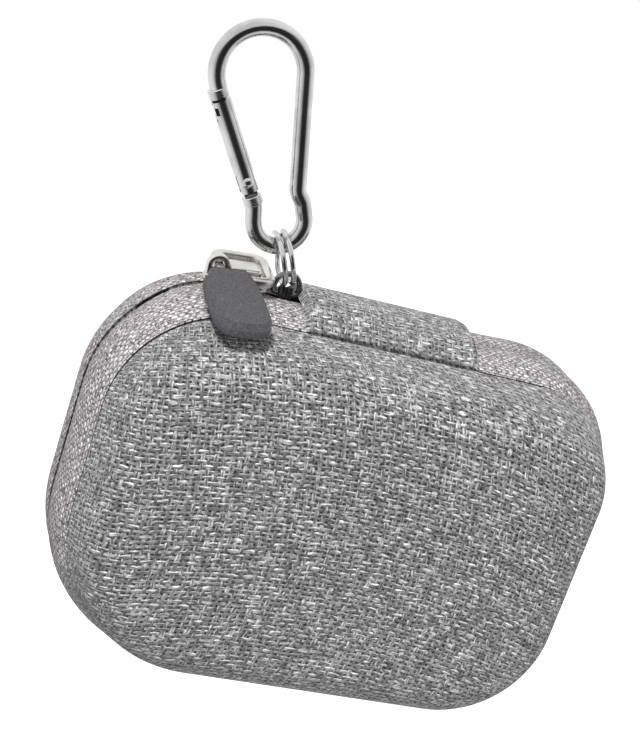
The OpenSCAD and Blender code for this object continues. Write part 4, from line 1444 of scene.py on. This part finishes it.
@dataclass
class Hanger:
    """The snap hook's frame, the split ring, the D ring and its sewn keeper."""

    finishes: Finishes
    wire_sides: int = 28
    ridge: float = 0.12

    def collar(self, name: str, low: float) -> bpy.types.Object:
        """Builds a ridged collar on the gate's line, in the hook's frame."""
        r, span = HOOK.gate / 2, HOOK.collar
        profile = [(0, low), (r - 0.15, low), (r, low + 0.12)]
        for k in range(3):
            at = low + 0.12 + (span - 0.24) * (k + 0.5) / 3
            profile += [(r, at - 0.14), (r - self.ridge, at - 0.05), (r - self.ridge, at + 0.05), (r, at + 0.14)]
        profile += [(r, low + span - 0.12), (r - 0.15, low + span), (0, low + span)]
        obj = round_solid(name, profile, 40)
        obj.data.transform(HOOK.gate_line)
        return obj

    def tongue(self, name: str, x_low: float, low: float, high: float) -> bpy.types.Object:
        """Builds a flat tongue on the gate's line, in the hook's frame."""
        half = HOOK.tongue / 2
        obj = box(name, Vector((x_low, -half, low)), Vector((x_low + 2.0, half, high)))
        return obj

    def frame_wire(self) -> bpy.types.Object:
        """Builds the hook's frame from one swept wire, two ridged collars and two tongues."""
        lean = HOOK.lean
        reach = Vector((math.cos(lean), 0, math.sin(lean))) * HOOK.bend
        top = Vector((0, 0, HOOK.bend_z))
        start = Matrix.Translation(top - reach) @ Matrix.Rotation(-lean, 4, "Y")
        obj = draw_line("hook_wire", section(start, HOOK.wire / 2, self.wire_sides), closed=True)
        leg_top = top + Vector((reach.x, 0, -reach.z))
        eye = HOOK.eye
        eye_z = HOOK.eye_z
        up = HOOK.gate_line.to_3x3() @ Vector((0, 0, 1))
        leg = [leg_top, Vector((HOOK.kink_half, 0, HOOK.kink_z)), Vector((eye, 0, eye_z + 2.4)), Vector((eye, 0, eye_z))]
        neck = [Vector((-eye, 0, eye_z)), Vector((-eye, 0, eye_z + 0.8)), HOOK.neck, HOOK.neck + up]
        y = Vector((0, 1, 0))
        sweep([Turn(top, y, 180 + 2 * math.degrees(lean), 40)] + wire_moves(leg, HOOK.elbow, 10)
              + [Turn(Vector((0, 0, eye_z)), y, 180, 32)] + wire_moves(neck, HOOK.elbow, 10))
        weld(closed=True)
        end_edit()
        nose_tip = HOOK.gate_span - HOOK.collar
        low = self.tongue("neck_tongue", -1.0, 0, HOOK.pivot_up)
        round_end = rod("round_end", Vector((0, -HOOK.tongue / 2, HOOK.pivot_up)),
                        Vector((0, HOOK.tongue / 2, HOOK.pivot_up)), 1.0, "Y")
        combine(low, round_end, "UNION")
        hole = rod("rivet_hole", Vector((0, -2, HOOK.pivot_up)), Vector((0, 2, HOOK.pivot_up)),
                   HOOK.rivet / 2 + 0.05, "Y")
        combine(low, hole, "DIFFERENCE")
        high = self.tongue("nose_tongue", -HOOK.wire / 2, nose_tip - 3.0, nose_tip + 0.2)
        for tongue in (low, high):
            tongue.data.transform(HOOK.gate_line)
        join(obj, low, high, self.collar("neck_collar", 0), self.collar("nose_collar", nose_tip))
        place(obj, Matrix.Identity(4), smooth=30)
        finish_piece(obj, self.finishes.slots["hook_steel"], "hook_steel", "hook_frame")
        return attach(obj, Body.HOOK.value)

    def split_ring(self) -> bpy.types.Object:
        """Builds the split ring by winding one wire nearly twice round, with a step from coil to coil."""
        run, cross, steps = 300, 60, 100
        spin_by = 2 * run / steps

        def shift(a: float) -> float:
            return HOOK.ring_pitch / 2 * math.sin(math.radians(max(-cross, min(cross, a)) * 90 / cross))

        place_on = Matrix.Rotation(math.radians(-run), 4, "X") @ Matrix.Translation((shift(-run), HOOK.ring_radius, 0))
        obj = draw_line("split_ring_wire", section(place_on, HOOK.ring_wire / 2, 16), closed=True)
        for k in range(steps):
            a = -run + spin_by * k
            sweep([Turn(Vector((0, 0, 0)), Vector((1, 0, 0)), spin_by, 1)])
            bpy.ops.transform.translate(value=(shift(a + spin_by) - shift(a), 0, 0))
        bpy.ops.mesh.select_all(action="DESELECT")
        bpy.ops.mesh.select_non_manifold(extend=False, use_wire=False, use_boundary=True, use_multi_face=False,
                                         use_non_contiguous=False, use_verts=False)
        bpy.ops.mesh.fill_holes(sides=0)
        bpy.ops.mesh.select_all(action="SELECT")
        bpy.ops.mesh.normals_make_consistent(inside=False)
        end_edit()
        place(obj, Matrix.Translation((0, 0, HOOK.ring_z)))
        finish_piece(obj, self.finishes.slots["ring_steel"], "ring_steel", "split_ring")
        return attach(obj, Body.RING.value)

    def dee_ring(self) -> bpy.types.Object:
        """Builds the D ring, one wire bent round its bow and two corners."""
        r, leg, corner = HOOK.dee, HOOK.dee_leg, 0.35
        obj = draw_line("dee_wire", ring_of(Vector((0, 0, -leg)), HOOK.dee_wire / 2, "X", 20), closed=True)
        y = Vector((0, 1, 0))
        sweep([Straight(Vector((r - corner, 0, 0)), 2), Turn(Vector((r - corner, 0, corner - leg)), y, -90, 6),
               Straight(Vector((0, 0, leg - corner)), 1), Turn(Vector((0, 0, 0)), y, -180, 28),
               Straight(Vector((0, 0, corner - leg)), 1), Turn(Vector((corner - r, 0, corner - leg)), y, -90, 6),
               Straight(Vector((r - corner, 0, 0)), 2)])
        weld(closed=False)
        end_edit()
        place(obj, HANG @ Matrix.Translation((-HOOK.dee_off, 0, CASE.half_h + HOOK.dee_bar + leg)))
        finish_piece(obj, self.finishes.slots["dark_steel"], "dark_steel", "dee_ring")
        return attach(obj, Body.DEE.value)

    def keeper(self) -> bpy.types.Object:
        """Builds the keeper of four turns of thick cord round the D ring's bar and three strands to the hinge."""
        cord, count = 0.26, 4
        hold = HOOK.dee_wire / 2 + 0.05 + cord
        pieces = []
        for k in range(count):
            x = -HOOK.dee_off + (k - (count - 1) / 2) * 2.15 * cord
            centre = Vector((x, hold, CASE.half_h + HOOK.dee_bar))
            turn = draw_line(f"cord_{k}", ring_of(centre, cord, "Z", 12), closed=True)
            sweep([Turn(Vector((x, 0, centre.z)), Vector((1, 0, 0)), 360, 24)])
            weld(closed=False)
            end_edit()
            pieces.append(turn)
        for k in range(3):
            start = Vector((-HOOK.dee_off - 0.8 + 0.3 * abs(k - 1), 0.12 + 0.5 * k, CASE.half_h + 0.42))
            strand = draw_line(f"strand_{k}", ring_of(start, cord * 0.9, "X", 12), closed=True)
            bpy.ops.mesh.edge_face_add()
            for j in range(10):
                sway = Vector((0.42, 0.05 * math.sin(j * 1.3 + k), 0.03 * math.cos(j * 1.1 + 2 * k)))
                bpy.ops.mesh.extrude_region_move(TRANSFORM_OT_translate={"value": sway})
            weld(closed=False)
            end_edit()
            pieces.append(strand)
        obj = join(*pieces)
        obj.name = "dee_keeper_cords"
        place(obj, HANG)
        finish_piece(obj, self.finishes.slots["webbing"], "webbing", "dee_keeper")
        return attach(obj, Body.BACK.value)

    def build(self) -> None:
        """Builds the four pieces."""
        self.frame_wire()
        self.split_ring()
        self.dee_ring()
        self.keeper()


# Camera, light and floor


@dataclass(frozen=True)
class Studio:
    """The camera at the photograph's angle, soft light and a pale floor."""

    azimuth: float = -13.17
    elevation: float = 22.94
    focal_px: float = 1602.2
    distance: float = 261.9
    shift_px: tuple[float, float] = (3.7, 121.5)

    def aim(self) -> None:
        """Makes the camera, turned with the case so that the hook hangs plumb in the part's frame."""
        a, e = math.radians(self.azimuth), math.radians(self.elevation)
        back = Vector((math.sin(a) * math.cos(e), -math.cos(a) * math.cos(e), math.sin(e)))
        right = Vector((math.cos(a), math.sin(a), 0))
        up = back.cross(right)
        across = self.shift_px[0] / self.focal_px * self.distance
        above = -self.shift_px[1] / self.focal_px * self.distance
        eye = back * self.distance - right * across - up * above
        turn = Matrix.Rotation(math.radians(HOOK.hang_lean - HOOK.image_lean), 4, "Y")
        axes = Matrix((right, up, back)).transposed().to_4x4()
        pose = Matrix.Translation(HANG @ Vector((0, 0, 0))) @ turn @ Matrix.Translation(eye) @ axes
        pose.translation *= MM
        camera_data = bpy.data.cameras.new("camera")
        camera_data.lens = self.focal_px * 36 / PHOTO_HEIGHT_PX
        camera_data.clip_start = 0.01
        camera = bpy.data.objects.new("camera", camera_data)
        camera.matrix_world = pose
        bpy.context.scene.collection.objects.link(camera)
        bpy.context.scene.camera = camera

    def dark_card(self, tree: bpy.types.NodeTree, way: Any, near: float, far: float) -> Any:
        """Makes the surroundings as metal mirrors them: pale, with a dark card before the hook.

        Args:
            tree: Tree that the nodes go into.
            way: Direction or place whose side of the hook is taken.
            near: Reach along the ground at which the card begins.
            far: Reach along the ground at which it is full.

        Returns:
            The colour output.
        """
        flat = add_node(tree, "ShaderNodeVectorMath", {0: way, 1: (1.0, 1.0, 0.0)}, operation="MULTIPLY").outputs[0]
        reach = add_node(tree, "ShaderNodeVectorMath", {0: flat}, operation="LENGTH").outputs["Value"]
        flat = add_node(tree, "ShaderNodeVectorMath", {0: flat}, operation="NORMALIZE").outputs[0]
        front = add_node(tree, "ShaderNodeVectorMath", {0: flat, 1: (0.1, -0.995, 0.0)}, operation="DOT_PRODUCT")
        bent = sum_of(tree, "MULTIPLY", front.outputs["Value"], add_node(tree, "ShaderNodeMapRange", {
            "Value": reach, "From Min": near, "From Max": far, "To Min": 0.4, "To Max": 1.0}).outputs[0])
        return ramp(tree, bent, [(0.0, "#ffffff"), (0.4, "#e8e8e8"), (0.68, "#bcbcbc"), (0.8, "#858585"),
                                 (0.87, "#404040"), (0.99, "#2e2e2e")])

    def light(self) -> None:
        """Lights the part with a pale world, darker behind the camera, and three soft lamps."""
        world = bpy.data.worlds.new("studio")
        bpy.context.scene.world = world
        world.use_nodes = True
        tree = world.node_tree
        tree.nodes.clear()
        way = add_node(tree, "ShaderNodeTexCoord").outputs["Generated"]
        path = add_node(tree, "ShaderNodeLightPath")
        lit = add_node(tree, "ShaderNodeBackground", {"Color": linear("#f4f4f4"), "Strength": 0.36})
        card = add_node(tree, "ShaderNodeBackground", {"Color": self.dark_card(tree, way, 0.86, 0.97), "Strength": 1.0})
        white = add_node(tree, "ShaderNodeBackground", {"Color": linear("#ffffff"), "Strength": 1.0})
        glossy = add_node(tree, "ShaderNodeMixShader", {0: path.outputs["Is Glossy Ray"], 1: lit.outputs[0],
                                                        2: card.outputs[0]})
        mix = add_node(tree, "ShaderNodeMixShader", {0: path.outputs["Is Camera Ray"], 1: glossy.outputs[0],
                                                     2: white.outputs[0]})
        add_node(tree, "ShaderNodeOutputWorld", {"Surface": mix.outputs[0]})
        for name, spot, size, power in (("key", (-0.05, -0.27, 0.40), 0.08, 3.55),
                                        ("front", (-0.08, -0.50, 0.10), 0.3, 0.4),
                                        ("fill", (0.45, -0.30, 0.05), 0.35, 0.6)):
            lamp = bpy.data.lights.new(name, "AREA")
            lamp.size = size
            lamp.energy = power
            lamp_object = bpy.data.objects.new(name, lamp)
            lamp_object.location = spot
            lamp_object.visible_glossy = False
            lamp_object.rotation_euler = (Vector(spot) - Vector((0, 0, -0.07))).to_track_quat("Z", "Y").to_euler()
            bpy.context.scene.collection.objects.link(lamp_object)

    def floor(self) -> None:
        """Lays a plain white floor well below the hanging case."""
        obj = draw_line("floor", [Vector((-3, -3, -0.33)), Vector((-3, 1.2, -0.33))], closed=False)
        bpy.ops.mesh.select_all(action="SELECT")
        sweep([Straight(Vector((6, 0, 0)))])
        weld(closed=False)
        end_edit()
        material = bpy.data.materials.new("matt white painted board")
        material.use_nodes = True
        tree = material.node_tree
        tree.nodes.clear()
        path = add_node(tree, "ShaderNodeLightPath")
        seen = sum_of(tree, "MAXIMUM", path.outputs["Is Camera Ray"], path.outputs["Is Transmission Ray"])
        board = add_node(tree, "ShaderNodeBsdfDiffuse", {"Color": linear("#f4f4f4")})
        glow = add_node(tree, "ShaderNodeEmission", {"Color": linear("#ffffff"), "Strength": 0.75})
        both = add_node(tree, "ShaderNodeAddShader", {0: board.outputs[0], 1: glow.outputs[0]})
        spot = add_node(tree, "ShaderNodeTexCoord").outputs["Object"]
        card = add_node(tree, "ShaderNodeEmission", {"Color": self.dark_card(tree, spot, 0.2, 0.55), "Strength": 1.0})
        plain = add_node(tree, "ShaderNodeMixShader", {0: path.outputs["Is Glossy Ray"], 1: board.outputs[0],
                                                       2: card.outputs[0]})
        mix = add_node(tree, "ShaderNodeMixShader", {0: seen, 1: plain.outputs[0], 2: both.outputs[0]})
        add_node(tree, "ShaderNodeOutputMaterial", {"Surface": mix.outputs[0]})
        obj.data.materials.append(material)


def main() -> None:
    """Builds the studio and the pieces."""
    bpy.context.scene.view_settings.view_transform = "Standard"
    studio = Studio()
    studio.aim()
    studio.light()
    studio.floor()
    finishes = Finishes()
    slots = {part["node"]: part["material_slot"] for part in frame["record"]["subparts"]}
    finishes.dress(slots)
    for side in Side:
        Half(side, finishes).build()
    HingeRoll(finishes).build()
    ZipSlider(finishes).build()
    Hanger(finishes).build()


if __name__ == "__main__":
    main()
